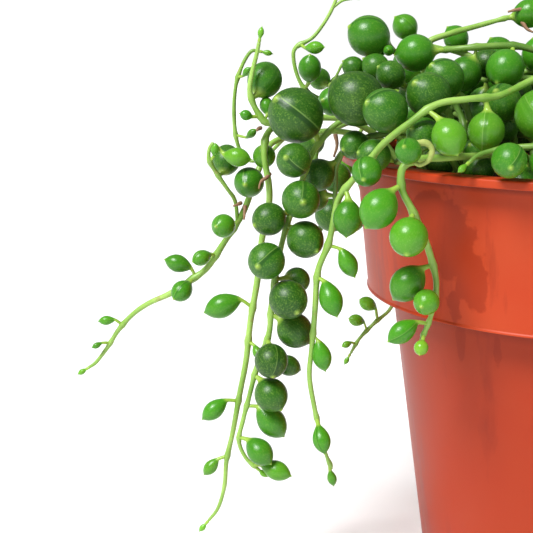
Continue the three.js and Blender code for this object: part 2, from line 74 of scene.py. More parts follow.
def add(tree, kind, inputs=None, **options):
    """Adds a shader node with its settings and links. The options are the node's own menus."""
    node = tree.nodes.new("ShaderNode" + kind)
    for name, value in options.items():
        setattr(node, name, value)
    feed(tree, node, inputs or {})
    return node


def new_material(name):
    """An empty material: its nodes, its surface shader, and places measured from the object's origin."""
    material = bpy.data.materials.new(name)
    material.use_nodes = True
    tree = material.node_tree
    return material, tree, tree.nodes["Principled BSDF"], add(tree, "TexCoord").outputs["Object"]


print("terracotta in linear light:", [round(c, 3) for c in colour("#c45a3a")])


# %% [markdown]
# ## Where the strings run
# Thirteen strings are given one by one, each as a route of points that the stem passes through and a list
# of its leaves. They are the ones that stand out: the long ones that hang at the left, the arch that
# comes down in front of the pot, and the shoots that rise from the mound.

# %% Strings listed one by one
# stems: routes as [x, y, z]. leaves: [x, y, z of the middle, radius, slimness from 0 to 1].
SHOWN = {
    "arching_string": {
        "stems": [[
            [-9, -20, 90.5], [-7, -24, 102], [-9, -28, 112], [-13.5, -31, 115], [-19.5, -34.5, 113],
            [-26.5, -37, 110], [-32.5, -39, 109.5], [-39, -40, 108.5], [-44, -40, 105], [-48.5, -38, 101],
            [-51, -36.5, 97.5], [-54, -34.5, 93.5], [-56.5, -32, 89.5], [-57.5, -31, 84.5],
            [-58.5, -30, 79.5], [-60.5, -30, 74], [-61, -30, 66], [-61.5, -29, 58], [-62, -29, 51.5],
            [-61, -29, 45], [-60, -29, 40.5], [-58.5, -29, 34.5], [-57, -29, 30.5],
        ]],
        "leaves": [
            [-29.2, -39, 103.4, 3.7, 0], [-37, -43.5, 102.7, 3.5, 0.15], [-52, -41.5, 96, 3, 0],
            [-55, -35, 86, 3.2, 0.3], [-54.5, -30.5, 76, 2.4, 0.9], [-58, -32.5, 69, 2.9, 0.8],
            [-59.5, -29.5, 56, 2.5, 0.9], [-59.5, -32, 38.5, 2.3, 0.8], [-57, -29, 28.5, 1.3, 1],
        ],
    },
    "full_string": {
        "stems": [[
            [-36, -14, 89.5], [-41, -15, 98], [-48, -16, 103], [-55, -16, 103.5], [-60, -18, 99],
            [-62.5, -20, 94.5], [-64.5, -21, 88.5], [-66.5, -22, 83], [-68, -23, 77.5], [-69, -24, 72],
            [-70, -24, 65.5], [-70.5, -24, 59], [-73, -24, 52], [-74.5, -24, 46], [-76, -24, 40],
            [-77, -24, 35], [-75.5, -24, 31], [-73, -24, 28.5],
        ]],
        "leaves": [
            [-65, -21.5, 105.1, 6, 0], [-65.5, -26, 96.3, 3.7, 0], [-64, -27.5, 88.5, 4.1, 0],
            [-70.5, -25, 84, 3.6, 0], [-63, -26.5, 80, 4, 0], [-71, -29, 76, 4, 0],
            [-64.5, -20.5, 70, 2.9, 0], [-66.5, -29.5, 68, 4.2, 0], [-65, -24.5, 60, 3.9, 0],
            [-70, -28.5, 54.5, 3.7, 0], [-66.5, -22, 51.5, 2.6, 0.6], [-70, -27, 46.5, 3.7, 0],
            [-70, -24, 39.5, 3.5, 0.6], [-72.5, -26.5, 33.5, 3, 0.4], [-69, -26, 29, 2.6, 0.8],
        ],
    },
    "long_string": {
        "stems": [[
            [-39, -5, 89.5], [-45, -5.5, 98], [-52, -6, 102.5], [-59, -7, 103.5], [-66, -10, 103],
            [-70.5, -13, 101], [-71.5, -15.5, 96.5], [-70.5, -16, 90], [-70.5, -16, 85.5], [-72, -16.5, 78],
            [-73, -17, 69], [-74.5, -17, 60], [-75.5, -17, 51], [-77, -17, 43], [-78.5, -17, 34.5],
            [-80, -17, 27.5], [-80.5, -17, 21.5], [-82, -17, 16], [-84.5, -17, 12.5],
        ]],
        "leaves": [
            [-71.5, -11.5, 95.5, 2.6, 0], [-80.5, -17, 63.5, 3.2, 0.8], [-73, -19, 53.5, 1.3, 0.8],
            [-82.5, -18, 40, 2.5, 0.9], [-83.5, -17, 26, 1.8, 0.9],
        ],
    },
    "reaching_string": {
        "stems": [[
            [-38, 4, 89.5], [-46, 4.5, 97], [-55, 4.5, 99.5], [-63.5, 4, 98.5], [-70, 0, 97], [-73, -4, 91],
            [-75.5, -6, 84], [-77.5, -6, 80], [-80.5, -6, 75.5], [-84.5, -6, 69.5], [-88.5, -6, 66.5],
            [-93, -6, 63.5], [-98, -5, 61], [-102, -4, 58], [-105.5, -3, 54], [-108, -2, 50],
            [-111, -2, 46], [-113, -2, 44.5],
        ], [
            [-67, 2, 98], [-72, 5, 93], [-76, 6, 93], [-78, 6, 97.5], [-78.5, 6, 104], [-78, 6, 110],
            [-76.5, 6, 114.5], [-74.5, 6, 117.5], [-72.5, 6, 117.5],
        ], [
            [-77.5, -6, 80], [-78, -7, 85], [-79.7, -8.5, 88], [-82, -9.5, 91.6], [-83.5, -10.5, 94.6],
            [-83.4, -10.5, 97], [-82.4, -10.5, 98.3],
        ]],
        "leaves": [
            [-74.8, -10.5, 89.7, 3.6, 0.15], [-80, -4, 93.8, 3.5, 0.3], [-80.5, -10.5, 80, 2.8, 0.1],
            [-85.5, -9, 72.5, 2, 0.5], [-91, -6, 70.5, 2.4, 0.7], [-90, -9.5, 65, 2.5, 0.3],
            [-108, -3.5, 56.5, 1.4, 1], [-110.5, -3.5, 50.5, 0.9, 1], [-77.4, -12, 95.4, 2.4, 0.6],
            [-82.2, -11.5, 96.9, 1.1, 0.8], [-74.5, 3.5, 99, 1.2, 1], [-75.5, 3.5, 113, 1.1, 0.9],
        ],
    },
    "rising_shoot": {
        "stems": [[
            [-33, -10, 90], [-42, -10.5, 101], [-51, -10.5, 106.5], [-59.5, -11, 106.5], [-66, -14, 104.5],
            [-70.5, -16, 103], [-73, -16, 105.5], [-74.5, -16, 109.5], [-74, -16, 113.5], [-73, -16, 117.5],
            [-72.5, -16, 120],
        ]],
        "leaves": [
            [-57, -14.5, 107.5, 3.2, 0], [-71, -13.5, 106.5, 1.7, 0.5], [-75.3, -17.3, 104.8, 1.2, 0.2],
            [-71.4, -11.5, 111.8, 4, 0.1],
        ],
    },
    "crossing_string": {
        "stems": [[
            [-19, -27, 89.7], [-21, -31, 96], [-25, -34.5, 98.4], [-31.5, -37, 98.4], [-38, -40.5, 98.5],
            [-42.5, -43, 98.5], [-45.5, -44, 97], [-45.5, -43.5, 93], [-43.5, -43, 89], [-41, -42, 84],
            [-39, -41, 78.5], [-38, -41, 74], [-38.5, -41, 69], [-39.5, -41, 65.5], [-40.5, -41, 63],
        ]],
        "leaves": [
            [-29, -33, 95.4, 3.1, 0], [-45, -47.5, 100.5, 2.6, 0.1], [-50, -45.5, 89.5, 3.8, 0.2],
            [-44.5, -47.5, 84.5, 3.8, 0], [-43.5, -40.5, 74, 3.6, 0.3], [-40.5, -45.5, 71.5, 2.6, 0],
            [-44.5, -43, 65, 2.6, 0.8], [-41, -44, 62, 1.5, 0.1],
        ],
    },
    "top_shoot": {
        "stems": [[
            [-32, -1, 90], [-40, -1.5, 100], [-47, -2, 105], [-53.5, -2, 106.5], [-58, -2, 107],
            [-62, -2, 109], [-64, -2, 112], [-65, -2, 116], [-64.5, -2, 118.5], [-61, -2, 120.5],
            [-58.5, -2, 123.5], [-56.5, -2, 127], [-55, -2, 131],
        ], [
            [-56.5, -2, 127], [-54.5, -2, 128.5], [-52.5, -2, 129],
        ], [
            [-57.6, -2, 107], [-56.9, -2, 109.2], [-55.6, -2, 112], [-54.2, -2, 115],
        ]],
        "leaves": [
            [-61.5, -4.5, 114, 2.8, 0.3], [-59, 2, 111.5, 2.6, 0.1], [-54.5, 3.5, 110, 2.4, 0],
            [-60.5, -4.5, 118.5, 1.7, 0.8],
        ],
    },
    "back_string": {
        "stems": [[
            [-24, 22, 90.5], [-29, 27, 99], [-35, 33, 102], [-42, 40, 100], [-46, 42.5, 96],
            [-47, 42.5, 90], [-46, 42, 83], [-44, 41, 75], [-41.5, 38.5, 66], [-37, 34, 56],
            [-38, 31.5, 50.5], [-42.5, 29, 47], [-46.5, 28, 43], [-49, 28, 38.5],
        ]],
        "leaves": [
            [-50, 38.5, 88, 3.3, 0], [-42, 44.5, 79, 3.6, 0], [-48, 37, 73, 3.3, 0.2],
            [-37, 39.5, 62, 2.8, 0.3], [-44.5, 27.5, 52.5, 2.2, 0.8], [-47.5, 26, 48.5, 1.9, 0.8],
            [-50, 26, 42, 1.1, 0.8],
        ],
    },
    "shaded_string": {
        "stems": [[
            [-31, 12, 90.5], [-38, 14.5, 98], [-46, 17, 101], [-53, 19, 99.5], [-58, 21, 95],
            [-59, 21.5, 88], [-58, 22, 81], [-57.5, 22, 75.5],
        ]],
        "leaves": [
            [-60, 26, 95, 3.8, 0], [-54, 18, 87, 3.9, 0], [-55, 18.5, 77.5, 4.2, 0],
            [-62, 18, 83, 3.5, 0.3],
        ],
    },
    "tucked_string": {
        "stems": [[
            [-29, -17, 90], [-35, -18.5, 97], [-40, -19, 101], [-47, -20, 101], [-53.5, -18.5, 98.5],
            [-56, -15.5, 94.5], [-56, -12.5, 89.5], [-56, -10, 84],
        ]],
        "leaves": [
            [-41, -18, 105, 2.8, 0], [-53, -23.5, 99.2, 3.1, 0], [-60, -16, 92, 3.6, 0],
            [-60.5, -8.5, 86, 3.3, 0],
        ],
    },
    "brim_string": {
        "stems": [[
            [-8, -34, 90.5], [-9, -39, 97], [-13, -43, 101], [-20, -44, 101], [-26, -43, 100.5],
            [-31, -43.5, 99.5], [-33.5, -45, 98],
        ]],
        "leaves": [
            [-18.9, -38, 106.4, 5, 0], [-14, -46.5, 98.5, 3, 0], [-20.3, -47.5, 98.5, 2.6, 0],
            [-26.7, -48.5, 98.9, 3.4, 0],
        ],
    },
    "level_string": {
        "stems": [[
            [-2, -9, 91], [-3, -12, 105], [-8, -15, 115], [-15, -16, 118], [-19, -16, 119], [-24, -16, 119],
            [-30.5, -15.5, 118.5], [-35.5, -11, 118], [-40, -7.5, 118], [-44.5, -6.5, 117.5],
        ]],
        "leaves": [
            [-22, -20, 114.5, 4.1, 0], [-29.3, -15, 113.3, 3.7, 0], [-39.5, -12.5, 117.5, 4.1, 0],
            [-49, -8, 121, 4.6, 0], [-45, -11, 118, 1.2, 0],
        ],
    },
    "upper_string": {
        "stems": [[
            [-27, -2, 90.5], [-33, -4, 105], [-37, -5, 115], [-36, -5.5, 119.5], [-31, -5, 121.5],
            [-25.5, -4, 123], [-20, -4, 124.5], [-16, -4, 125.5],
        ]],
        "leaves": [
            [-13.8, -4, 125.8, 3.4, 0.2],
        ],
    },
}
print("strings laid by hand:", len(SHOWN))

# %% [markdown]
# The pearls that sit on top of the mound are placed first, and a stem is run just under them.

# %% Pearls on top of the mound
# [x, y, z, radius]
HEADS = {
    "rim_head": [
        [-28.2, -27, 98.5, 2.9], [-35.8, -27, 96.5, 3.6], [-39.2, -31, 109.8, 4.6],
        [-48, -34.5, 107, 4.5], [-52.9, -25.5, 108.7, 5.8],
    ],
    "crest_head": [
        [-35, -23, 112.6, 4.3], [-45.5, -20, 113.2, 3.1], [-48, -14.5, 114.6, 3],
        [-52.5, -11.5, 114.5, 2.5],
    ],
    "shoulder_head": [
        [-22.3, -22.5, 102.7, 3.2], [-24.2, -29, 108.1, 4],
    ],
    "edge_head": [
        [-40.8, -37, 102.6, 3.5], [-49.6, -30, 97.7, 3.5],
    ],
    "summit_head": [
        [-12, -6, 117, 3.6], [-20, -4, 117.5, 3.4], [-28.5, 2, 120.5, 2.9], [-40, 2, 123, 2.9],
    ],
}
print("pearls on top:", sum(len(pearls) for pearls in HEADS.values()))

# %% [markdown]
# A stem is a smooth curve through its route. A uniform Catmull-Rom curve passes through every point, so
# a point in the table is a point on the plant. Six samples between two points are enough for a stem
# whose bends are a few millimetres wide.

# %% Curve through a route
SAMPLES = 6


def trace(route):
    points = np.array(route, float)
    before, after = 2 * points[0] - points[1], 2 * points[-1] - points[-2]
    padded = np.vstack([before, points, after])
    steps = (len(points) - 1) * SAMPLES
    line = []
    for i in range(steps + 1):
        stretch = min(i // SAMPLES, len(points) - 2)
        t = i / SAMPLES - stretch
        p0, p1, p2, p3 = padded[stretch : stretch + 4]
        slope_in, slope_out = 0.5 * (p2 - p0), 0.5 * (p3 - p1)
        line.append(
            p1
            + slope_in * t
            + (3 * (p2 - p1) - 2 * slope_in - slope_out) * t**2
            + (2 * (p1 - p2) + slope_in + slope_out) * t**3
        )
    return np.array(line)


print("samples on the arch:", len(trace(SHOWN["arching_string"]["stems"][0])))

# %% [markdown]
# ## Pot and soil sizes
# A 4 1/4 inch nursery pot: a thin wall, a deep collar that the pots stack on, and a flat rim.

# %% Pot and soil sizes
HEIGHT, WALL, FLOOR = 95, 1.2, 1.5
RIM_RADIUS, RIM_DEPTH = 54, 1.8
COLLAR_DEPTH, COLLAR_TOP, COLLAR_LOW, LIP = 31.5, 50.3, 47.1, 0.5
BODY_TOP, BASE = 41.4, 32.4
STEP = HEIGHT - COLLAR_DEPTH
THROAT = COLLAR_TOP - WALL
DRAIN_HOLES, DRAIN_RADIUS, DRAIN_RING = 8, 3.5, 21
SOIL_WALL, SOIL_MIDDLE, SOIL_RADIUS = 87, 90, 48
GAP = 0.3


def soil_level(radius):
    return SOIL_MIDDLE - (SOIL_MIDDLE - SOIL_WALL) * (radius / SOIL_RADIUS) ** 2


print("the collar's step is at", STEP, "mm; the soil's middle at", soil_level(0), "mm")

# %% [markdown]
# ## Growing the rest of the plant
# The mound and the back are filled by formula: a string is tried at random until it touches nothing,
# as the real ones share the light. The random numbers are a fixed sequence, so the plant is always the
# same one, and it is the same sequence that the CAD model was grown with: each string here lies where
# its solid is.

# %% Room round a point
PETIOLE = 1.8
STEM_RADIUS = 0.8
LEAF_ROOM, STEM_ROOM = 0.6, 1.1
SKIN = np.array([
    [BASE, 0], [BODY_TOP, STEP], [COLLAR_LOW + LIP, STEP], [COLLAR_TOP, HEIGHT - RIM_DEPTH],
    [RIM_RADIUS, HEIGHT - RIM_DEPTH], [RIM_RADIUS, HEIGHT], [THROAT, HEIGHT], [THROAT, soil_level(THROAT)],
    [0, SOIL_MIDDLE],
], float)


def room_over_pot(point):
    """Distance to the pot's outside, its rim and the soil, negative inside them."""
    radius, z = math.hypot(point[0], point[1]), point[2]
    here = np.array([radius, z])
    runs = SKIN[1:] - SKIN[:-1]
    share = np.clip(((here - SKIN[:-1]) * runs).sum(1) / (runs**2).sum(1), 0, 1)
    room = np.linalg.norm(here - SKIN[:-1] - runs * share[:, None], axis=1).min()
    in_soil = radius < THROAT and z < soil_level(radius)
    in_wall = THROAT < radius < RIM_RADIUS and HEIGHT - RIM_DEPTH < z < HEIGHT
    in_pot = radius < COLLAR_LOW and STEP < z < HEIGHT - RIM_DEPTH
    return -room if in_soil or in_wall or in_pot else room


def half_length(radius, slim):
    return radius * (1 + 0.35 * slim)


def half_width(radius, slim):
    return radius * (1 - 0.3 * slim)


def room_at(point, own, strings):
    """The largest radius that a ball at this point may have."""
    room = room_over_pot(point) - LEAF_ROOM
    for string in strings:
        other = string is not own
        if other:
            for line in string["lines"]:
                room = min(room, np.linalg.norm(line - point, axis=1).min() - STEM_RADIUS - LEAF_ROOM)
        for leaf in string["leaves"]:
            gap = LEAF_ROOM if other else 0
            room = min(room, np.linalg.norm(leaf["middle"] - point) - leaf["radius"] - gap)
    return room


def is_stem_clear(line, strings):
    if any(room_over_pot(point) < STEM_RADIUS + LEAF_ROOM for point in line[SAMPLES:]):
        return False
    for string in strings:
        for other in string["lines"]:
            gaps = np.linalg.norm(line[:, None] - other[None], axis=2)
            if gaps.min() < 2 * STEM_RADIUS + STEM_ROOM:
                return False
        for leaf in string["leaves"]:
            if np.linalg.norm(line - leaf["middle"], axis=1).min() < leaf["radius"] + STEM_RADIUS + LEAF_ROOM:
                return False
    return True


print("room over the middle of the soil at 100 mm:", round(room_over_pot((0, 0, 100)), 2), "mm")

# %% [markdown]
# The listed routes come first. Each leaf is tied to the stem where the stem first comes within its
# reach, and shrinks if another leaf or stem leaves it too little room. A string of pearls on top gets its
# stem on the side that looks to the heart of the plant.

# %% Strings and pearls listed one by one
HEART = np.array([0, 0, 80.0])
# Where such a stem is rooted, as a share of its first point's distance from the middle.
HEAD_ROOT_SHARE = 0.8
ROOT_GAP = 1
LEAF_REACH = 1.1


def foot_of(lines, middle, reach):
    """The stem's first sample within reach of the leaf, or else the nearest."""
    samples = np.vstack(lines)
    away = np.linalg.norm(samples - middle, axis=1)
    near = np.flatnonzero(away <= reach)
    return samples[near[0] if len(near) else away.argmin()]


strings = []
for name, shown in SHOWN.items():
    lines = [trace(stem) for stem in shown["stems"]]
    strings.append({"name": name, "lines": lines, "leaves": [], "wanted": shown["leaves"]})
for name, pearls in HEADS.items():
    route = []
    for x, y, z, radius in pearls:
        inward = HEART - (x, y, z)
        route.append(np.array([x, y, z]) + inward / np.linalg.norm(inward) * (radius + PETIOLE))
    root = route[0] * HEAD_ROOT_SHARE
    root[2] = soil_level(math.hypot(root[0], root[1])) + ROOT_GAP
    wanted = [[*pearl, 0] for pearl in pearls]
    strings.append({"name": name, "lines": [trace([root, *route])], "leaves": [], "wanted": wanted})
for string in strings:
    for x, y, z, radius, slim in string["wanted"]:
        middle = np.array([x, y, z], float)
        radius = min(radius, room_at(middle, string, strings))
        foot = foot_of(string["lines"], middle, LEAF_REACH * (PETIOLE + half_length(radius, slim)))
        string["leaves"].append({"foot": foot, "middle": middle, "radius": radius, "slim": slim})
BY_HAND = len(strings)
print("by hand:", BY_HAND, "strings with", sum(len(s["leaves"]) for s in strings), "leaves")

# %% [markdown]
# Trailing strings bend over the rim and hang; creeping ones wander over the mound.

# %% Strings by formula
# Creeping: how many, where they root, how far each step goes and turns, and how far out they get.
CREEPING, FIRST_ROOT, LAST_ROOT = 21, 3, 38
CREEP_STEPS, CREEP_STEP, CREEP_SWING, CREEP_REACH = 8, 7, 0.5, 52
# The mound they climb is a dome over the rim's height. Beyond RIM_INSIDE they keep clear of the rim.
DOME_RISE, DOME_RADIUS = 24, 62
CLIMB_START, CLIMB_STEP = 0.55, 0.25
RIM_INSIDE, RIM_CLEARANCE = 42, 3.5
# Trailing: how many, over which arc of the rim, and how near the pot and how far from it they hang.
TRAILING, TRAILING_FROM, TRAILING_SPAN = 13, -1.8, 4.0
OVER_RIM, NEAREST, FARTHEST, HANG_STEP = 46, 56.5, 62, 9
GOLDEN_ANGLE = math.pi * (3 - math.sqrt(5))
# A linear congruential generator with the usual constants gives the same numbers in any language.
FACTOR, INCREMENT, RANGE = 1664525, 1013904223, 2**32
growth = {"seed": 2026}


def chance():
    growth["seed"] = (growth["seed"] * FACTOR + INCREMENT) % RANGE
    return growth["seed"] / RANGE


def between(low, high):
    return low + (high - low) * chance()


def polar(radius, azimuth, z):
    return np.array([radius * math.cos(azimuth), radius * math.sin(azimuth), z])


def creeping_route(index):
    azimuth = index * GOLDEN_ANGLE + between(-0.3, 0.3)
    start = FIRST_ROOT + (LAST_ROOT - FIRST_ROOT) * math.sqrt((index + 0.5) / CREEPING)
    share = between(0.45, 1)
    route = [polar(start, azimuth, soil_level(start) + ROOT_GAP)]
    position = polar(start + 1, azimuth, 0)
    heading = between(0, 2 * math.pi)
    for i in range(CREEP_STEPS):
        radius = math.hypot(position[0], position[1])
        dome = HEIGHT + DOME_RISE * (1 - (radius / DOME_RADIUS) ** 2)
        rise = min(1, CLIMB_START + CLIMB_STEP * i) * share
        level = soil_level(radius) + rise * (dome - soil_level(radius))
        lowest = HEIGHT + RIM_CLEARANCE if radius > RIM_INSIDE else 0
        route.append(np.array([position[0], position[1], max(level, lowest)]))
        position = position + polar(CREEP_STEP, heading, 0)
        heading += between(-CREEP_SWING, CREEP_SWING)
        if np.linalg.norm(position) > CREEP_REACH:
            break
    return route


def trailing_route(index):
    azimuth = TRAILING_FROM + TRAILING_SPAN * (index + between(0.25, 0.75)) / TRAILING
    start = between(16, 34)
    hang = between(57, 60.5)
    end = between(14, 72)
    lift = between(2.5, 8)
    route = [
        polar(start, azimuth + between(-0.2, 0.2), soil_level(start) + ROOT_GAP),
        polar(start + 5, azimuth, HEIGHT + lift),
        polar(OVER_RIM, azimuth, HEIGHT + lift + 1.5),
        polar(hang - 2.5, azimuth, HEIGHT + 0.5 * lift + 1.5),
    ]
    radius, swing, z = hang, azimuth, HEIGHT - 2
    while z > end:
        route.append(polar(radius, swing, z))
        radius = min(FARTHEST, max(NEAREST, radius + between(-1.2, 1.2)))
        swing += between(-0.045, 0.045)
        z -= HANG_STEP
    return route


def grow_stem(name, make_route):
    while True:
        line = trace(make_route())
        if is_stem_clear(line, strings):
            return {"name": name, "lines": [line], "leaves": []}


for i in range(TRAILING):
    strings.append(grow_stem(f"trailing_string_{i + 1}", lambda: trailing_route(i)))
for i in range(CREEPING):
    strings.append(grow_stem(f"creeping_string_{i + 1}", lambda: creeping_route(i)))
print("strings in all:", len(strings))

# %% [markdown]
# Leaves follow each other round a stem by the golden angle, which keeps one from shading the next, and
# they get smaller and slimmer towards the growing tip.

# %% Leaves by formula
# Directions tried round the stem for one leaf, how far each leans forward, and the least share of its
# size that a leaf has to find room for.
LEAF_WAYS, LEAF_FORWARD, LEAST_SHARE = 8, 0.4, 0.55
# Leaves in the last 1 / TIP_SHARE of a stem are younger and smaller, by up to SMALLER of their size.
TIP_SHARE, SMALLER = 2.5, 0.45
BARE_END = 2
ASKEW = (0.31, 0.22, 0.93)


def unit(vector):
    return vector / np.linalg.norm(vector)


def grow_leaves(string, bare, turn, plump, slimness, spacing):
    line = string["lines"][0]
    gaps = np.linalg.norm(line[1:] - line[:-1], axis=1)
    total, travelled, following = gaps.sum(), 0, bare
    for i in range(1, len(line) - 1):
        travelled += gaps[i - 1]
        if travelled < following or total - travelled < BARE_END:
            continue
        maturity = min(1, TIP_SHARE * (1 - travelled / total))
        radius = plump * between(0.8, 1.12) * (1 - SMALLER + SMALLER * maturity)
        slim = min(1, slimness + 0.5 * (1 - maturity))
        following = travelled + spacing * between(0.75, 1.2)
        turn += GOLDEN_ANGLE
        along = unit(line[i + 1] - line[i - 1])
        across = unit(np.cross(along, ASKEW))
        over = np.cross(along, across)
        best = None
        for k in range(LEAF_WAYS):
            angle = turn + 2 * math.pi * k / LEAF_WAYS
            way = unit(across * math.cos(angle) + over * math.sin(angle) + LEAF_FORWARD * along)
            middle = line[i] + way * (PETIOLE + half_length(radius, slim))
            room = room_at(middle, string, strings)
            if best is None or room > best[0]:
                best = (room, middle)
            if room >= radius:
                break
        if best[0] >= LEAST_SHARE * radius:
            leaf = {"foot": line[i], "middle": best[1], "radius": min(radius, best[0]), "slim": slim}
            string["leaves"].append(leaf)


for string in strings[BY_HAND:]:
    creeps = string["name"].startswith("creeping")
    full = chance() < (0.8 if creeps else 0.6)
    turn = between(0, 2 * math.pi)
    plump = between(3.4, 5 if creeps else 4.3) if full else between(2.4, 3.3)
    slimness = 0 if full else between(0.3, 0.8)
    grow_leaves(string, 5 if creeps else 9, turn, plump, slimness, 6 if full else 8.5)
print("leaves in all:", sum(len(s["leaves"]) for s in strings))

# %% [markdown]
# ## The pearl
# A pearl is a swollen leaf: a short stalk, a round body, and a small point where the leaf's tip was.
# Its cage could be carved from a ball, but a spin of half the outline gives clean rings round the axis,
# and the rings are what later bends the stalk. There are hundreds of pearls, so the cage has only a few
# dozen faces and a Subdivision Surface rounds it.

# %% Cage of a pearl
SEGMENTS = 8
# Rings from the stalk's foot to the tip: [height on the axis, radius when round, radius when slim].
# Heights from -1 to 1 are the body. The cage is larger than the body, as subdivision pulls it in.
BODY_RINGS = [
    [-1.00, 0.15, 0.14], [-0.90, 0.58, 0.42], [-0.42, 1.04, 1.08], [0.22, 1.11, 1.38], [0.82, 0.72, 0.76],
    [1.04, 0.12, 0.10],
]
POINT_HEIGHT = 1.2


def mesh_of(shape, name):
    """Ends a bmesh: what it holds becomes a mesh."""
    mesh = bpy.data.meshes.new(name)
    shape.to_mesh(mesh)
    shape.free()
    return mesh


def pearl_cage():
    """A lantern of rings one apart on +Z: ring 0 is the stalk's foot and the last vertex is the point."""
    cage = bmesh.new()
    rings = len(BODY_RINGS) + 1
    outline = [cage.verts.new((1, 0, k)) for k in range(rings)] + [cage.verts.new((0, 0, rings))]
    for low, high in zip(outline, outline[1:]):
        cage.edges.new((low, high))
    bmesh.ops.spin(
        cage, geom=cage.verts[:] + cage.edges[:], cent=(0, 0, 0), axis=(0, 0, 1), dvec=(0, 0, 0),
        angle=2 * math.pi, steps=SEGMENTS, use_merge=True, use_normal_flip=False, use_duplicate=False,
    )
    bmesh.ops.remove_doubles(cage, verts=cage.verts[:], dist=1e-4)
    foot_ring = [e for e in cage.edges if e.is_boundary]
    bmesh.ops.contextual_create(cage, geom=foot_ring)
    bmesh.ops.recalc_face_normals(cage, faces=cage.faces[:])
    return mesh_of(cage, "pearl_cage")


cage_mesh = pearl_cage()
print("faces in a pearl's cage:", len(cage_mesh.polygons), "verts:", len(cage_mesh.vertices))

# %% [markdown]
# Each pearl is the same cage with its rings moved: the body's rings go along the leaf's own axis, and
# the stalk's rings run from the stem into it, so the stalk bends. The place on the pearl and its age are
# stored on the vertices, where the skin's material reads them.

# %% Place a pearl
rng = random.Random(7)
UP, SIDE_SPREAD = Vector((0, 0, 1)), 0.9
# How far a round leaf leans towards the stem's tip, and how much further a slim one does.
LEAN, SLIM_LEAN = 0.15, 0.45
STALK_RADIUS, STALK_PER_RADIUS, STALK_FLARE, SHORTEST_STALK = 0.34, 0.05, 1.25, 0.3
# Heights stored for the stalk's two rings, below the body's -1, so that the skin can tell them apart.
FOOT_HEIGHT, NECK_HEIGHT, NECK_SINK = -1.5, -1.05, 0.02
POINT_STRETCH, POINT_LENGTH = 1.04, 0.55


def ring_frame(axis, side):
    """Columns: side made square to the axis, its partner, and the axis."""
    x = (side - axis * side.dot(axis)).normalized()
    return Matrix((x, axis.cross(x), axis)).transposed()


def place_pearl(mesh, layers, leaf, along):
    radius, slim = leaf["radius"], leaf["slim"]
    width, length = half_width(radius, slim), half_length(radius, slim)
    foot, middle = Vector(leaf["foot"]), Vector(leaf["middle"])
    way = (middle - foot).normalized()
    # A slim leaf leans towards the growing tip, and a round one only a little.
    axis = (way + along * (LEAN + SLIM_LEAN * slim)).normalized()
    neck = middle - axis * length
    if (neck - foot).length > 1.6 * PETIOLE + 0.3 * length:
        axis = way
        neck = middle - axis * length
    stalk = (neck - foot).normalized() if (neck - foot).length > SHORTEST_STALK else way
    side = UP + Vector([rng.uniform(-SIDE_SPREAD, SIDE_SPREAD) for _ in range(3)])
    slit = rng.random()
    if leaf.get("facing"):
        side, slit = Vector(leaf["facing"]), 1
    body, base = ring_frame(axis, side), ring_frame(stalk, side)
    stalk_radius = STALK_RADIUS + STALK_PER_RADIUS * radius
    tone = Vector((leaf["age"], rng.random(), slit))
    start = len(mesh.verts)
    mesh.from_mesh(cage_mesh)
    mesh.verts.ensure_lookup_table()
    for vert in mesh.verts[start:]:
        ring = round(vert.co.z)
        around = Vector((vert.co.x, vert.co.y, 0))
        if ring == 0:
            height, ring_radius, centre, turn = FOOT_HEIGHT, STALK_FLARE * stalk_radius, foot, base
        elif ring == 1:
            height, ring_radius, turn = NECK_HEIGHT, stalk_radius, body
            centre = neck + axis * (-NECK_SINK * length)
        elif ring <= len(BODY_RINGS):
            height, round_radius, slim_radius = BODY_RINGS[ring - 1]
            ring_radius = width * (round_radius + (slim_radius - round_radius) * slim)
            centre, turn = middle + axis * (height * length), body
        else:
            height, ring_radius, turn = POINT_HEIGHT, 0, body
            centre = middle + axis * (length * POINT_STRETCH + POINT_LENGTH)
        vert.co = (centre + turn @ (around * ring_radius)) * MM
        vert[layers["pearl"]] = (around.x * ring_radius / width, around.y * ring_radius / width, height)
        vert[layers["tone"]] = tone


print("a slim leaf of 3 mm:", 2 * half_length(3, 1), "by", round(2 * half_width(3, 1), 2), "mm")

# %% [markdown]
# ## Strings as pieces
# A stem is a thin green cord that swells a little where a leaf grows and tapers to its tip. A curve with
# a bevel does this best, because its radius can change from point to point. It is made a mesh with closed
# ends. The pearls of one string are one mesh.

# %% Stems
STEM_THICK, STEM_TIP, SIDE_STEM = 0.7, 0.36, 0.65
THIN_STEMS = {"top_shoot": 0.45, "rising_shoot": 0.6, "back_string": 0.55, "full_string": 0.62}
# The last TAPER of a stem gets thinner. A leaf's foot swells it by SWELL over SWELL_REACH.
TAPER, SWELL, SWELL_REACH, WOBBLE, END_SHARE = 0.45, 0.22, 0.9, 0.06, 0.45


def placed(name, data):
    """An object at the origin, in the scene."""
    holder = bpy.data.objects.new(name, data)
    bpy.context.scene.collection.objects.link(holder)
    return holder


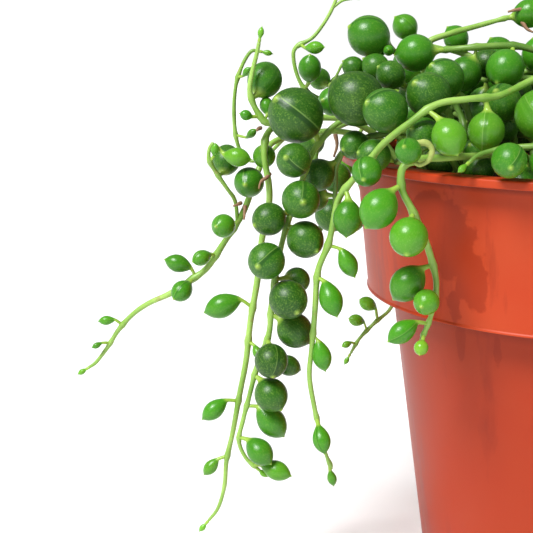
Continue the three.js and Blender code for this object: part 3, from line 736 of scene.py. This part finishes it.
def cord_mesh(name, lines, radius_at, bevel_resolution):
    """Round cords along the lines. radius_at gets the line's number, the share of it passed and the point."""
    curve = bpy.data.curves.new(name, "CURVE")
    curve.dimensions = "3D"
    curve.bevel_depth = MM
    curve.bevel_resolution = bevel_resolution
    curve.use_fill_caps = True
    for order, line in enumerate(lines):
        spline = curve.splines.new("POLY")
        spline.points.add(len(line) - 1)
        for i, (point, spot) in enumerate(zip(spline.points, line)):
            point.co = (*(spot * MM), 1)
            point.radius = radius_at(order, i / (len(line) - 1), spot)
    holder = placed(name, curve)
    mesh = bpy.data.meshes.new_from_object(holder)
    bpy.data.objects.remove(holder)
    bpy.data.curves.remove(curve)
    welded = bmesh.new()
    welded.from_mesh(mesh)
    bmesh.ops.remove_doubles(welded, verts=welded.verts[:], dist=1e-6)
    bmesh.ops.recalc_face_normals(welded, faces=welded.faces[:])
    welded.to_mesh(mesh)
    welded.free()
    return mesh


def stem_mesh(string):
    feet = np.array([leaf["foot"] for leaf in string["leaves"]])

    def radius_at(order, share, spot):
        radius = THIN_STEMS.get(string["name"], STEM_THICK) * (1 if order == 0 else SIDE_STEM)
        radius += (STEM_TIP - radius) * max(0, (share - (1 - TAPER)) / TAPER) ** 1.5
        swell = np.exp(-((np.linalg.norm(feet - spot, axis=1) / SWELL_REACH) ** 2)).max()
        wobble = WOBBLE * noise.noise(Vector(spot) * 0.35)
        return (radius + SWELL * swell + wobble) * (END_SHARE if share == 1 else 1)

    return cord_mesh(string["name"], string["lines"], radius_at, 2)


def new_piece(name, mesh, material, node):
    piece = placed(name, mesh)
    mesh.materials.clear()
    mesh.materials.append(material)
    mesh.shade_smooth()
    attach(piece, "root")
    if node:
        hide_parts(node)
    return piece


print("a stem is", 2 * STEM_THICK, "mm thick and", 2 * STEM_TIP, "mm at its tip")


# %% [markdown]
# ## The skin of a pearl
# A string of pearls leaf is a water store under a waxy, slightly glossy skin. Young leaves are bright
# yellow-green and old ones dark green. Each has a narrow window, a clearer and darker band with a fine
# pale edge, which lets light into the middle. Light also enters the flesh and comes out again, so the
# skin gets subsurface scattering up to a millimetre deep.

# %% Leaf skin
def leaf_skin():
    material, tree, surface, at_object = new_material("succulent_leaf_waxy_skin")
    place = add(tree, "Attribute", attribute_name="pearl").outputs["Vector"]
    tone = add(tree, "Attribute", attribute_name="tone").outputs["Vector"]
    age, brightness, slit = add(tree, "SeparateXYZ", {"Vector": tone}).outputs
    px, py, pz = add(tree, "SeparateXYZ", {"Vector": place}).outputs
    # Age and a little difference between neighbours choose the green.
    greens = add(tree, "ValToRGB", {"Fac": age})
    ramp = greens.color_ramp
    ramp.elements[0].color = colour("#79b52c")
    ramp.elements[1].color = colour("#1c4805")
    middle = ramp.elements.new(0.45)
    middle.color = colour("#3b8514")
    shift = add(tree, "MapRange", {"Value": brightness, "To Min": 0.8, "To Max": 1.18})
    varied = add(tree, "HueSaturation", {"Color": greens, "Value": shift})
    # The window: a darker, clearer band on one side, from near the stalk to the point.
    off_middle = add(tree, "Math", {0: py}, operation="ABSOLUTE")
    band = add(
        tree, "MapRange",
        {"Value": off_middle, "From Min": 0.07, "From Max": 0.16, "To Min": 1, "To Max": 0},
        interpolation_type="SMOOTHSTEP",
    )
    facing = add(tree, "MapRange", {"Value": px, "From Min": 0.0, "From Max": 0.2})
    shown = add(tree, "MapRange", {"Value": slit, "From Min": 0.25, "From Max": 0.8})
    clear = add(tree, "Math", {0: band, 1: facing}, operation="MULTIPLY")
    clear = add(tree, "Math", {0: clear, 1: shown}, operation="MULTIPLY")
    depth = add(tree, "Math", {0: clear, 1: age}, operation="MULTIPLY")
    depth = add(tree, "Math", {0: depth, 1: 0.6}, operation="MULTIPLY")
    # Cells under the skin show as a fine light speckle, drawn 0.33 mm wide so that it can be seen.
    cells = add(tree, "TexNoise", {
        "Vector": at_object, "Scale": 1 / (0.33 * MM), "Detail": 2, "Roughness": 0.7,
    })
    spots = add(tree, "MapRange", {"Value": cells, "From Min": 0.46, "From Max": 0.64, "To Max": 0.4})
    # The cells lie in rows that run from the stalk to the point.
    stretched = add(tree, "Mapping", {"Vector": place, "Scale": (1, 1, 0.2)})
    rows = add(tree, "TexNoise", {"Vector": stretched, "Scale": 11, "Detail": 2})
    row = add(tree, "MapRange", {
        "Value": rows, "From Min": 0.4, "From Max": 0.6, "To Min": 0.15, "To Max": 1,
    })
    speckle = add(tree, "Math", {0: spots, 1: row}, operation="MULTIPLY")
    patches = add(tree, "TexNoise", {"Vector": at_object, "Scale": 1 / (4 * MM), "Detail": 3})
    bloom = add(tree, "MapRange", {"Value": patches, "From Min": 0.45, "From Max": 0.7, "To Max": 0.08})
    light = add(tree, "Math", {0: speckle, 1: bloom}, operation="ADD")
    # The speckle is strongest on old leaves and is missing from the window.
    old = add(tree, "MapRange", {"Value": age, "To Min": 0.35, "To Max": 1.0})
    light = add(tree, "Math", {0: light, 1: old}, operation="MULTIPLY")
    left = add(tree, "Math", {0: 1.0, 1: clear}, operation="SUBTRACT")
    light = add(tree, "Math", {0: light, 1: left}, operation="MULTIPLY")
    # One edge of the window is a fine pale line.
    beside = add(tree, "Math", {0: py, 1: -0.1}, operation="ADD")
    beside = add(tree, "Math", {0: beside}, operation="ABSOLUTE")
    edge = add(tree, "MapRange", {
        "Value": beside, "From Min": 0.012, "From Max": 0.045, "To Min": 0.45, "To Max": 0,
    })
    line = add(tree, "Math", {0: edge, 1: clear}, operation="MULTIPLY")
    # Stalk and point are pale.
    stalk = add(tree, "MapRange", {"Value": pz, "From Min": -0.9, "From Max": -1.03, "To Max": 0.8})
    point = add(tree, "MapRange", {"Value": pz, "From Min": 1.02, "From Max": 1.12, "To Max": 0.8})
    ends = add(tree, "Math", {0: stalk, 1: point}, operation="MAXIMUM")
    # Each lies over the green in turn: the window, the speckle, the window's edge, then both ends.
    skin = varied
    for mask, tint in ((depth, "#123805"), (light, "#86b045"), (line, "#9cc661"), (ends, "#9dbb4c")):
        skin = add(tree, "Mix", {"Factor": mask, "A": skin, "B": colour(tint)}, data_type="RGBA")
    # Young skin is glossy, and old skin has a duller wax.
    rough = add(tree, "MapRange", {"Value": age, "To Min": 0.2, "To Max": 0.4})
    # The window is a shallow groove, and the cells make the skin very slightly uneven.
    sunk = add(tree, "Math", {0: clear, 1: -0.8}, operation="MULTIPLY")
    relief = add(tree, "Math", {0: sunk, 1: cells}, operation="ADD")
    bump = add(tree, "Bump", {"Height": relief, "Strength": 0.35, "Distance": 0.12 * MM})
    feed(tree, surface, {
        "Base Color": skin, "Roughness": rough, "Normal": bump, "IOR": 1.42, "Specular IOR Level": 0.5,
        "Subsurface Weight": 0.15, "Subsurface Radius": (0.5, 1.0, 0.15), "Subsurface Scale": 1.0 * MM,
    })
    return material


leaf_material = leaf_skin()
print("leaf skin nodes:", len(leaf_material.node_tree.nodes))

# %% [markdown]
# ## The skin of a stem
# The stems are soft and green, paler than the leaves, with a yellow cast and a few brown scars. Stems
# that lie in the mound are older and olive green.

# %% Stem skin
def stem_skin(name, dark, pale):
    material, tree, surface, at_object = new_material(name)
    drift = add(tree, "TexNoise", {"Vector": at_object, "Scale": 1 / (9 * MM), "Detail": 4})
    greens = add(tree, "ValToRGB", {"Fac": drift})
    low, high = greens.color_ramp.elements
    low.position, low.color = 0.32, colour(dark)
    high.position, high.color = 0.68, colour(pale)
    scars = add(tree, "TexNoise", {"Vector": at_object, "Scale": 1 / (2.2 * MM), "Detail": 2})
    scar = add(tree, "MapRange", {"Value": scars, "From Min": 0.66, "From Max": 0.76, "To Max": 0.5})
    skin = add(tree, "Mix", {"Factor": scar, "A": greens, "B": colour("#9a8450")}, data_type="RGBA")
    bump = add(tree, "Bump", {"Height": scars, "Strength": 0.3, "Distance": 0.1 * MM})
    feed(tree, surface, {
        "Base Color": skin, "Roughness": 0.42, "Normal": bump,
        "Subsurface Weight": 0.2, "Subsurface Radius": (0.6, 1.0, 0.3), "Subsurface Scale": 0.8 * MM,
    })
    return material


young_stem = stem_skin("succulent_stem_soft_green", "#709c36", "#a0c460")
old_stem = stem_skin("succulent_stem_olive_green", "#4f7a24", "#7ba144")
print("stem skin nodes:", len(young_stem.node_tree.nodes))

# %% [markdown]
# Pearls near a growing tip are young, and whole strings differ too: the arch and the shoots that rise
# from the mound are fresh growth, while the full string is old and dark.

# %% Ages
STRING_AGE = {
    "arching_string": 0.52, "full_string": 0.85, "long_string": 0.45, "reaching_string": 0.5,
    "rising_shoot": 0.5, "crossing_string": 0.42, "top_shoot": 0.45, "back_string": 0.35,
    "shaded_string": 0.75, "tucked_string": 0.8, "brim_string": 0.6, "level_string": 0.5,
    "upper_string": 0.5, "rim_head": 0.85, "crest_head": 0.8, "shoulder_head": 0.85, "edge_head": 0.75,
    "summit_head": 0.5,
}
# Leaves that differ from the rest of their string: (string, place in its list) and the age.
LEAF_AGE = {
    ("arching_string", 0): 0.3, ("arching_string", 1): 0.28, ("brim_string", 0): 0.35,
    ("crossing_string", 0): 0.85, ("crossing_string", 7): 0.0, ("full_string", 12): 0.5,
    ("full_string", 13): 0.5, ("full_string", 14): 0.35, ("reaching_string", 1): 0.85,
    ("reaching_string", 8): 0.25, ("summit_head", 3): 0.4,
}
# Leaves that turn their window to a known side: (string, place in its list) and the direction.
FACING = {
    ("full_string", 0): (-0.1, -1, 0.25), ("full_string", 1): (0.5, -1, -0.6),
    ("full_string", 5): (0.3, -1, 0.7), ("arching_string", 0): (-0.3, -1, 0),
    ("reaching_string", 0): (-0.3, -1, 0.5),
}
print("strings with an age of their own:", len(STRING_AGE), "leaves:", len(LEAF_AGE))

# %% [markdown]
# Each string becomes two pieces that ride with its CAD solid: the stem, and all of its pearls in one
# mesh. A leaf is a little older when it is large.

# %% Build the strings
# A stem ends in a small bud, unless a leaf is closer to its end than TIP_ROOM or it was cut.
TIP_ROOM = 2.6
BUD = {"radius": 0.85, "slim": 1, "age": 0.2}
BUD_SINK, BUD_RISE = 0.5, 1.7
USUAL_RADIUS, AGE_PER_MM, AGE_SPREAD = 3.4, 0.05, 0.08
BARE_TIPS = {("top_shoot", 2)}
YOUNG_STEMS = {
    "arching_string", "reaching_string", "long_string", "top_shoot", "back_string", "upper_string",
    "rising_shoot", "crossing_string", "summit_head", "full_string",
} | {f"trailing_string_{i + 1}" for i in range(TRAILING)}
pearl_count = 0
for string in strings:
    name = string["name"]
    skin = young_stem if name in YOUNG_STEMS else old_stem
    new_piece(name + "_stem", stem_mesh(string), skin, name)
    own_age = STRING_AGE.get(name, rng.uniform(0.35, 0.9))
    pearls = bmesh.new()
    layers = {key: pearls.verts.layers.float_vector.new(key) for key in ("pearl", "tone")}
    line = np.vstack(string["lines"])
    for order, leaf in enumerate(string["leaves"]):
        nearest = int(np.linalg.norm(line - leaf["foot"], axis=1).argmin())
        low, high = max(0, nearest - 2), min(len(line) - 1, nearest + 2)
        along = Vector(unit(line[high] - line[low]))
        age = own_age + AGE_PER_MM * (leaf["radius"] - USUAL_RADIUS) + rng.uniform(-AGE_SPREAD, AGE_SPREAD)
        leaf["facing"] = FACING.get((name, order))
        leaf["age"] = LEAF_AGE.get((name, order), min(1, max(0, age)))
        place_pearl(pearls, layers, leaf, along)
        pearl_count += 1
    for order, tip in enumerate(string["lines"]):
        if (name, order) in BARE_TIPS or name.endswith("head"):
            continue
        if min(np.linalg.norm(leaf["middle"] - tip[-1]) for leaf in string["leaves"]) < TIP_ROOM:
            continue
        along = unit(tip[-1] - tip[-4])
        bud = {"foot": tip[-1] - BUD_SINK * along, "middle": tip[-1] + BUD_RISE * along, **BUD}
        place_pearl(pearls, layers, bud, Vector(along))
        pearl_count += 1
    mesh = mesh_of(pearls, name + "_pearls")
    piece = new_piece(name + "_pearls", mesh, leaf_material, name)
    rounding = piece.modifiers.new("rounding", "SUBSURF")
    rounding.levels = rounding.render_levels = 2
print("pearls placed:", pearl_count)

# %% [markdown]
# ## The pot
# The real pot is injection-moulded polypropylene, so every edge has a small radius and the wall is even.
# Half of its section is drawn once and spun; the drain holes are cut with a Boolean, as a drill would.

# %% Pot
POT_SIDES = 96


def rounded(corners, radius_at):
    """Replaces a corner by five points of a small arc."""
    out = []
    for i, corner in enumerate(corners):
        here = Vector(corner)
        radius = radius_at.get(i, 0)
        if not radius:
            out.append(tuple(here))
            continue
        back, ahead = Vector(corners[i - 1]) - here, Vector(corners[i + 1]) - here
        back, ahead = back.normalized() * radius, ahead.normalized() * radius
        for t in (0, 0.25, 0.5, 0.75, 1):
            out.append(tuple(here + back * (1 - t) ** 2 + ahead * t**2))
    return out


# The CAD model's lip stands out by LIP. The moulded one is a finer bead, upright and then sloping back.
FINE_LIP, LIP_UPRIGHT, LIP_END = 0.25, 0.4, 0.7
POT_OUTLINE = [
    (0, 0), (BASE, 0), (BODY_TOP, STEP), (COLLAR_LOW + FINE_LIP, STEP),
    (COLLAR_LOW + FINE_LIP, STEP + LIP_UPRIGHT), (COLLAR_LOW, STEP + LIP_END),
    (COLLAR_TOP, HEIGHT - RIM_DEPTH), (RIM_RADIUS, HEIGHT - RIM_DEPTH), (RIM_RADIUS, HEIGHT),
    (THROAT, HEIGHT), (COLLAR_LOW - WALL, STEP + WALL), (BODY_TOP - WALL, STEP + WALL),
    (BASE - WALL, FLOOR), (0, FLOOR),
]
# How far each corner's arc reaches along its two sides, by the corner's place in the outline.
POT_ROUNDING = {
    1: 0.9, 2: 0.8, 3: 0.15, 4: 0.15, 5: 0.15, 6: 0.8, 7: 0.45, 8: 0.5, 9: 0.5, 10: 1, 11: 1, 12: 1,
}


def spun(outline, sides):
    shell = bmesh.new()
    points = [shell.verts.new((r * MM, 0, z * MM)) for r, z in outline]
    for low, high in zip(points, points[1:]):
        shell.edges.new((low, high))
    bmesh.ops.spin(
        shell, geom=shell.verts[:] + shell.edges[:], cent=(0, 0, 0), axis=(0, 0, 1), dvec=(0, 0, 0),
        angle=2 * math.pi, steps=sides, use_merge=True, use_normal_flip=False, use_duplicate=False,
    )
    bmesh.ops.remove_doubles(shell, verts=shell.verts[:], dist=1e-6)
    bmesh.ops.recalc_face_normals(shell, faces=shell.faces[:])
    return shell


def pot_mesh():
    shell = placed("shell", mesh_of(spun(rounded(POT_OUTLINE, POT_ROUNDING), POT_SIDES), "pot_shell"))
    drills = bmesh.new()
    for i in range(DRAIN_HOLES):
        centre = polar(DRAIN_RING * MM, 2 * math.pi * i / DRAIN_HOLES, 0)
        bmesh.ops.create_cone(
            drills, cap_ends=True, segments=24, radius1=DRAIN_RADIUS * MM, radius2=DRAIN_RADIUS * MM,
            depth=4 * FLOOR * MM, matrix=Matrix.Translation(centre),
        )
    drill = placed("drill", mesh_of(drills, "drill"))
    cut = shell.modifiers.new("cut", "BOOLEAN")
    cut.object, cut.operation, cut.solver = drill, "DIFFERENCE", "EXACT"
    bpy.context.view_layer.update()
    drilled = shell.evaluated_get(bpy.context.evaluated_depsgraph_get())
    result = bpy.data.meshes.new_from_object(drilled)
    for item in (shell, drill):
        bpy.data.objects.remove(item)
    return result


print("corners in the pot's section:", len(POT_OUTLINE), "of which rounded:", len(POT_ROUNDING))

# %% [markdown]
# Terracotta-coloured polypropylene, moulded glossy and since handled: a soft even sheen, a faint pale
# haze, dull smears where it was watered and darker streaks where drips ran down and dried. The haze and
# the streaks are noise stretched down the wall.

# %% Pot plastic
# Places that water ran over, and how far each smear reaches along x, y and z, in millimetres.
SMEARS = [
    ((-34.5, -35, 81), (8, 7, 13)), ((-31, -38, 73.5), (6, 6, 9)), ((-38, -31, 87), (6, 6, 6)),
    ((-34, -35, 67), (3, 3, 6)), ((-30.6, -27.5, 56), (1.9, 1.9, 12)), ((-24, -33.4, 56), (1.4, 1.4, 10)),
]


def pot_plastic():
    material, tree, surface, at_object = new_material("polypropylene_terracotta_moulded")
    tall = add(tree, "Mapping", {"Vector": at_object, "Scale": (1, 1, 0.16)})
    streaks = add(tree, "TexNoise", {"Vector": tall, "Scale": 1 / (7 * MM), "Detail": 5, "Roughness": 0.6})
    streak = add(tree, "MapRange", {"Value": streaks, "From Min": 0.56, "From Max": 0.68, "To Max": 0.6})
    clouds = add(tree, "TexNoise", {"Vector": at_object, "Scale": 1 / (22 * MM), "Detail": 4})
    haze = add(tree, "MapRange", {"Value": clouds, "From Min": 0.4, "From Max": 0.8, "To Max": 0.35})
    # Water from the can ran down here: a spherical gradient round each place, broken up by noise.
    wetted = 0.0
    for centre, size in SMEARS:
        near = add(tree, "Mapping", {
            "Vector": at_object, "Scale": [1 / (s * MM) for s in size],
            "Location": [-c / s for c, s in zip(centre, size)],
        })
        spot = add(tree, "TexGradient", {"Vector": near}, gradient_type="SPHERICAL").outputs["Fac"]
        wetted = add(tree, "Math", {0: wetted, 1: spot}, operation="MAXIMUM")
    ragged = add(tree, "TexNoise", {"Vector": at_object, "Scale": 1 / (3.5 * MM), "Detail": 5})
    broken = add(tree, "Math", {0: wetted, 1: ragged}, operation="ADD")
    smear = add(tree, "MapRange", {"Value": broken, "From Min": 0.76, "From Max": 0.86, "To Max": 0.65})
    # Painted shade: a dark band just under the collar and just under the rim, where their ledges shade the
    # wall.
    height = add(tree, "SeparateXYZ", {"Vector": at_object}).outputs["Z"]
    painted_ledge_shade = 0.0
    for edge, reach in ((STEP, 3.5), (HEIGHT - RIM_DEPTH, 1.6)):
        near = add(tree, "MapRange", {
            "Value": height, "From Min": (edge - reach) * MM, "From Max": edge * MM, "To Max": 0.85,
        })
        below = add(tree, "Math", {0: height, 1: (edge + 0.1) * MM}, operation="LESS_THAN")
        band = add(tree, "Math", {0: near, 1: below}, operation="MULTIPLY")
        painted_ledge_shade = add(tree, "Math", {0: painted_ledge_shade, 1: band}, operation="MAXIMUM")
    # Painted shade: the wall under the collar is drawn a darker red for the collar's shade.
    under = add(tree, "Math", {0: height, 1: STEP * MM}, operation="LESS_THAN")
    painted_collar_shade = add(tree, "Math", {0: under, 1: 0.5}, operation="MULTIPLY")
    # Each lies over the plastic in turn: haze, drips, smears, the painted shade under the ledges, then the
    # painted shade of the lower wall.
    wall = colour("#b23a17")
    for mask, tint in (
        (haze, "#b5522e"), (streak, "#86260f"), (smear, "#8f2709"), (painted_ledge_shade, "#4a1408"), (painted_collar_shade, "#8f2a10"),
    ):
        wall = add(tree, "Mix", {"Factor": mask, "A": wall, "B": colour(tint)}, data_type="RGBA")
    # The streaks are a little glossier than the dusty wall between them.
    dusty = add(tree, "MapRange", {"Value": clouds, "To Min": 0.34, "To Max": 0.5})
    glossier = add(tree, "Math", {0: streak, 1: -0.12}, operation="MULTIPLY")
    rough = add(tree, "Math", {0: dusty, 1: glossier}, operation="ADD")
    grain = add(tree, "TexNoise", {"Vector": at_object, "Scale": 1 / (0.6 * MM), "Detail": 2})
    bump = add(tree, "Bump", {"Height": grain, "Strength": 0.06, "Distance": 0.1 * MM})
    feed(tree, surface, {
        "Base Color": wall, "Roughness": rough, "Normal": bump, "IOR": 1.49, "Specular IOR Level": 0.22,
        "Subsurface Weight": 0.08, "Subsurface Radius": (1.0, 0.35, 0.15), "Subsurface Scale": 1.5 * MM,
    })
    return material


pot = new_piece("nursery_pot", pot_mesh(), pot_plastic(), "pot")
print("pot faces:", len(pot.data.polygons))

# %% [markdown]
# ## The soil
# Peat with bark and perlite. The bed is spun like the pot, divided and pushed up and down by noise.

# %% Soil bed
SOIL_RINGS = 24


def soil_mesh():
    inside = WALL + GAP
    ledge = STEP + WALL + GAP
    below = [(0, FLOOR + GAP), (BASE - inside, FLOOR + GAP), (BODY_TOP - inside, ledge)]
    rings = [SOIL_RADIUS * (1 - k / SOIL_RINGS) for k in range(SOIL_RINGS + 1)]
    outline = below + [(COLLAR_LOW - inside, ledge)] + [(r, soil_level(r)) for r in rings]
    bed = spun(outline, POT_SIDES)
    for vert in bed.verts:
        spot = vert.co / MM
        radius = math.hypot(spot.x, spot.y)
        if spot.z > SOIL_WALL - 0.1 and radius < SOIL_RADIUS - 0.5:
            # Lumps some 4 mm wide, and crumbs of about a millimetre on them.
            lumps = 0.8 * noise.noise(spot * 0.25) + 0.5 * noise.noise(spot * 0.8)
            vert.co.z += (lumps - 0.4) * MM
    return mesh_of(bed, "soil_bed")


def peat():
    material, tree, surface, at_object = new_material("peat_and_bark_damp")
    crumbs = add(tree, "TexVoronoi", {"Vector": at_object, "Scale": 1 / (1.6 * MM)})
    fibres = add(tree, "TexNoise", {"Vector": at_object, "Scale": 1 / (0.9 * MM), "Detail": 6})
    browns = add(tree, "ValToRGB", {"Fac": fibres})
    low, high = browns.color_ramp.elements
    low.position, low.color = 0.3, colour("#1d130d")
    high.position, high.color = 0.75, colour("#5b402a")
    relief = add(tree, "Math", {0: crumbs, 1: fibres}, operation="ADD")
    bump = add(tree, "Bump", {"Height": relief, "Strength": 0.8, "Distance": 0.6 * MM})
    feed(tree, surface, {"Base Color": browns, "Roughness": 0.92, "Normal": bump})
    return material


peat_material = peat()
soil = new_piece("soil_bed", soil_mesh(), peat_material, "soil")
print("soil faces:", len(soil.data.polygons))

# %% [markdown]
# Loose bits lie on the bed: bark chips, and the white grains of perlite that keep the mix airy. Each is
# a low ball squeezed and turned at random, with a few dozen faces and no more, as there are hundreds.

# %% Bark and perlite
SCATTER_RADIUS, CHIPPED = 47, 0.12


def scattered(name, count, smallest, largest, material, flatness):
    grains = bmesh.new()
    for _ in range(count):
        radius, azimuth = SCATTER_RADIUS * math.sqrt(rng.random()), rng.uniform(0, 2 * math.pi)
        size = rng.uniform(smallest, largest)
        spot = Vector(polar(radius, azimuth, soil_level(radius) + 0.15 * size))
        squeeze = Matrix.Diagonal((1, rng.uniform(0.5, 0.9), rng.uniform(flatness, 0.8), 1))
        angle = rng.uniform(0, 6.3)
        spin = Matrix.Rotation(angle, 4, Vector([rng.random() for _ in range(3)]).normalized())
        place = Matrix.Translation(spot * MM) @ spin @ squeeze @ Matrix.Scale(size * MM, 4)
        made = bmesh.ops.create_icosphere(grains, subdivisions=1, radius=0.5, matrix=place)
        for vert in made["verts"]:
            vert.co += Vector([rng.uniform(-CHIPPED, CHIPPED) * size * MM for _ in range(3)])
    return new_piece(name, mesh_of(grains, name), material, None)


def grainy(name, texture, settings, dark, pale, roughness, strength, depth):
    """Two tones and a relief that all follow one texture."""
    material, tree, surface, at_object = new_material(name)
    grain = add(tree, texture, {"Vector": at_object, **settings})
    tones = add(tree, "Mix", {"Factor": grain, "A": colour(dark), "B": colour(pale)}, data_type="RGBA")
    bump = add(tree, "Bump", {"Height": grain, "Strength": strength, "Distance": depth * MM})
    feed(tree, surface, {"Base Color": tones, "Roughness": roughness, "Normal": bump})
    return material


bark_chips = scattered("bark_chips", 300, 1.2, 3.4, peat_material, 0.25)
perlite = grainy(
    "perlite_expanded_glass", "TexVoronoi", {"Scale": 1 / (0.5 * MM)}, "#b9b2a4", "#e8e4da", 0.85, 0.6, 0.2,
)
perlite_grains = scattered("perlite_grains", 70, 0.9, 2.0, perlite, 0.6)
print("bark faces:", len(bark_chips.data.polygons), "perlite faces:", len(perlite_grains.data.polygons))

# %% [markdown]
# ## Roots and dried bits
# Where a stem touches nothing it still puts out short brown roots at its joints, and old leaf bases dry
# into pale curls. Each is a thin tapering cord along a few points, like the stems.

# %% Roots and dried bits
# Points from the joint outwards, and the radius at the joint.
ROOTS = [
    [[-70.3, -15.5, 92.2], [-71.1, -17, 91.5], [-72.2, -18, 90.8], [-72.6, -18.5, 89.4]],
    [[-75.8, -6.5, 83.8], [-75.9, -7.5, 82.4], [-76, -8.5, 81]],
    [[-56, -9, 100.1], [-55.6, -9.5, 97.7], [-56.3, -10, 95.2]],
    [[-76.7, -6.5, 84.5], [-77.6, -8, 84.3], [-78.4, -8.5, 84.1]],
    [[-72.2, -15.5, 102], [-72.8, -16.5, 101.8], [-73, -17, 101.5]],
    [[-15.3, -5.5, 126.7], [-17.2, -6, 126.5], [-18.9, -6.2, 126.1]],
    [[-15.6, -5.5, 124], [-14.7, -6.5, 122.5], [-13.5, -7, 121.8]],
]
DRIED = [
    [
        [-43.1, -46, 101.7], [-42.2, -46.5, 102], [-41.3, -46.5, 101.7], [-40.6, -46.5, 100.8],
        [-40.7, -46.5, 99.5], [-41.4, -46.3, 98.4], [-42.6, -46, 97.8], [-43.5, -45.5, 98.1],
    ],
]


def cords(name, routes, thick, thin, material):
    def radius_at(order, share, spot):
        return thick + (thin - thick) * share + 0.12 * noise.noise(Vector(spot) * 1.3)

    mesh = cord_mesh(name, [trace(route) for route in routes], radius_at, 1)
    return new_piece(name, mesh, material, None)


def dry_skin(name, dark, pale):
    return grainy(name, "TexNoise", {"Scale": 1 / (0.8 * MM), "Detail": 4}, dark, pale, 0.75, 0.5, 0.15)


roots = cords("aerial_roots", ROOTS, 0.5, 0.22, dry_skin("aerial_root_dry_cork", "#6b4a34", "#b08a6a"))
dried = cords("dried_leaf_base", DRIED, 0.75, 0.35, dry_skin("leaf_base_withered", "#7f9a3c", "#b7bf6e"))
print("root faces:", len(roots.data.polygons), "dried faces:", len(dried.data.polygons))

# %% [markdown]
# ## Floor, light and camera
# A plain pale floor in a bright room: a white surround gives the pearls and the pot their soft edges of
# light, and one wide lamp at the upper left gives each pearl its highlight.

# %% Floor
def floor_paper():
    material, tree, surface, at_object = new_material("matt_white_paper")
    grain = add(tree, "TexNoise", {"Vector": at_object, "Scale": 1 / (4 * MM), "Detail": 3})
    tones = {"Factor": grain, "A": colour("#f9f9f9"), "B": colour("#fbfbfb")}
    feed(tree, surface, {"Base Color": add(tree, "Mix", tones, data_type="RGBA"), "Roughness": 0.9})
    return material


# The floor lies a little below the pot's base, so that the two faces don't fight over the same place.
FLOOR_SIZE, FLOOR_DROP = 4, 0.2 * MM
sheet = bmesh.new()
bmesh.ops.create_grid(sheet, x_segments=4, y_segments=4, size=FLOOR_SIZE)
floor = placed("floor", mesh_of(sheet, "floor"))
floor.data.materials.append(floor_paper())
floor.location.z = -FLOOR_DROP
print("floor:", 2 * FLOOR_SIZE, "m across")

# %% [markdown]
# The room is brightest in a band round the horizon and dimmer overhead. The band gives every pearl a
# pale edge. One lamp, as wide in the sky as a window, gives the highlight and a soft shadow.

# %% Lights
world = bpy.data.worlds.new("white_room")
bpy.context.scene.world = world
world.use_nodes = True
room = world.node_tree
toward = add(room, "TexCoord").outputs["Generated"]
upward = add(room, "SeparateXYZ", {"Vector": toward}).outputs["Z"]
level = add(room, "Math", {0: upward}, operation="ABSOLUTE")
glow = add(room, "MapRange", {
    "Value": level, "From Min": 0.06, "From Max": 0.28, "To Min": 1.02, "To Max": 0.25,
})
feed(room, room.nodes["Background"], {"Color": (1, 1, 1, 1), "Strength": glow})


def sun_light(name, direction, width_degrees, strength):
    """A lamp so far off that its light is even. It looks width_degrees wide, which softens its shadows."""
    lamp = bpy.data.lights.new(name, "SUN")
    lamp.angle, lamp.energy = math.radians(width_degrees), strength
    holder = placed(name, lamp)
    holder.rotation_euler = (-Vector(direction)).to_track_quat("-Z", "Y").to_euler()
    return holder


key = sun_light("key", (-0.5, -0.5, 0.9), 22, 4.7)
bpy.context.scene.view_settings.view_transform = "Standard"
print("key light:", round(key.data.energy, 2), "W/m2")

# %% [markdown]
# A short telephoto stands close to the plant, a little above the rim, and is tipped down by 12 degrees.

# %% Camera
PITCH, SENSOR, FOCAL_LENGTH = 0.215, 36, 72.4728
lens = bpy.data.cameras.new("camera")
lens.sensor_width, lens.lens, lens.clip_start = SENSOR, FOCAL_LENGTH, 10 * MM
camera = placed("camera", lens)
camera.location = (-0.071, -0.244, 0.1218)
camera.rotation_euler = (math.pi / 2 - PITCH, 0, 0)
bpy.context.scene.camera = camera
print("camera sees", round(math.degrees(lens.angle)), "degrees")
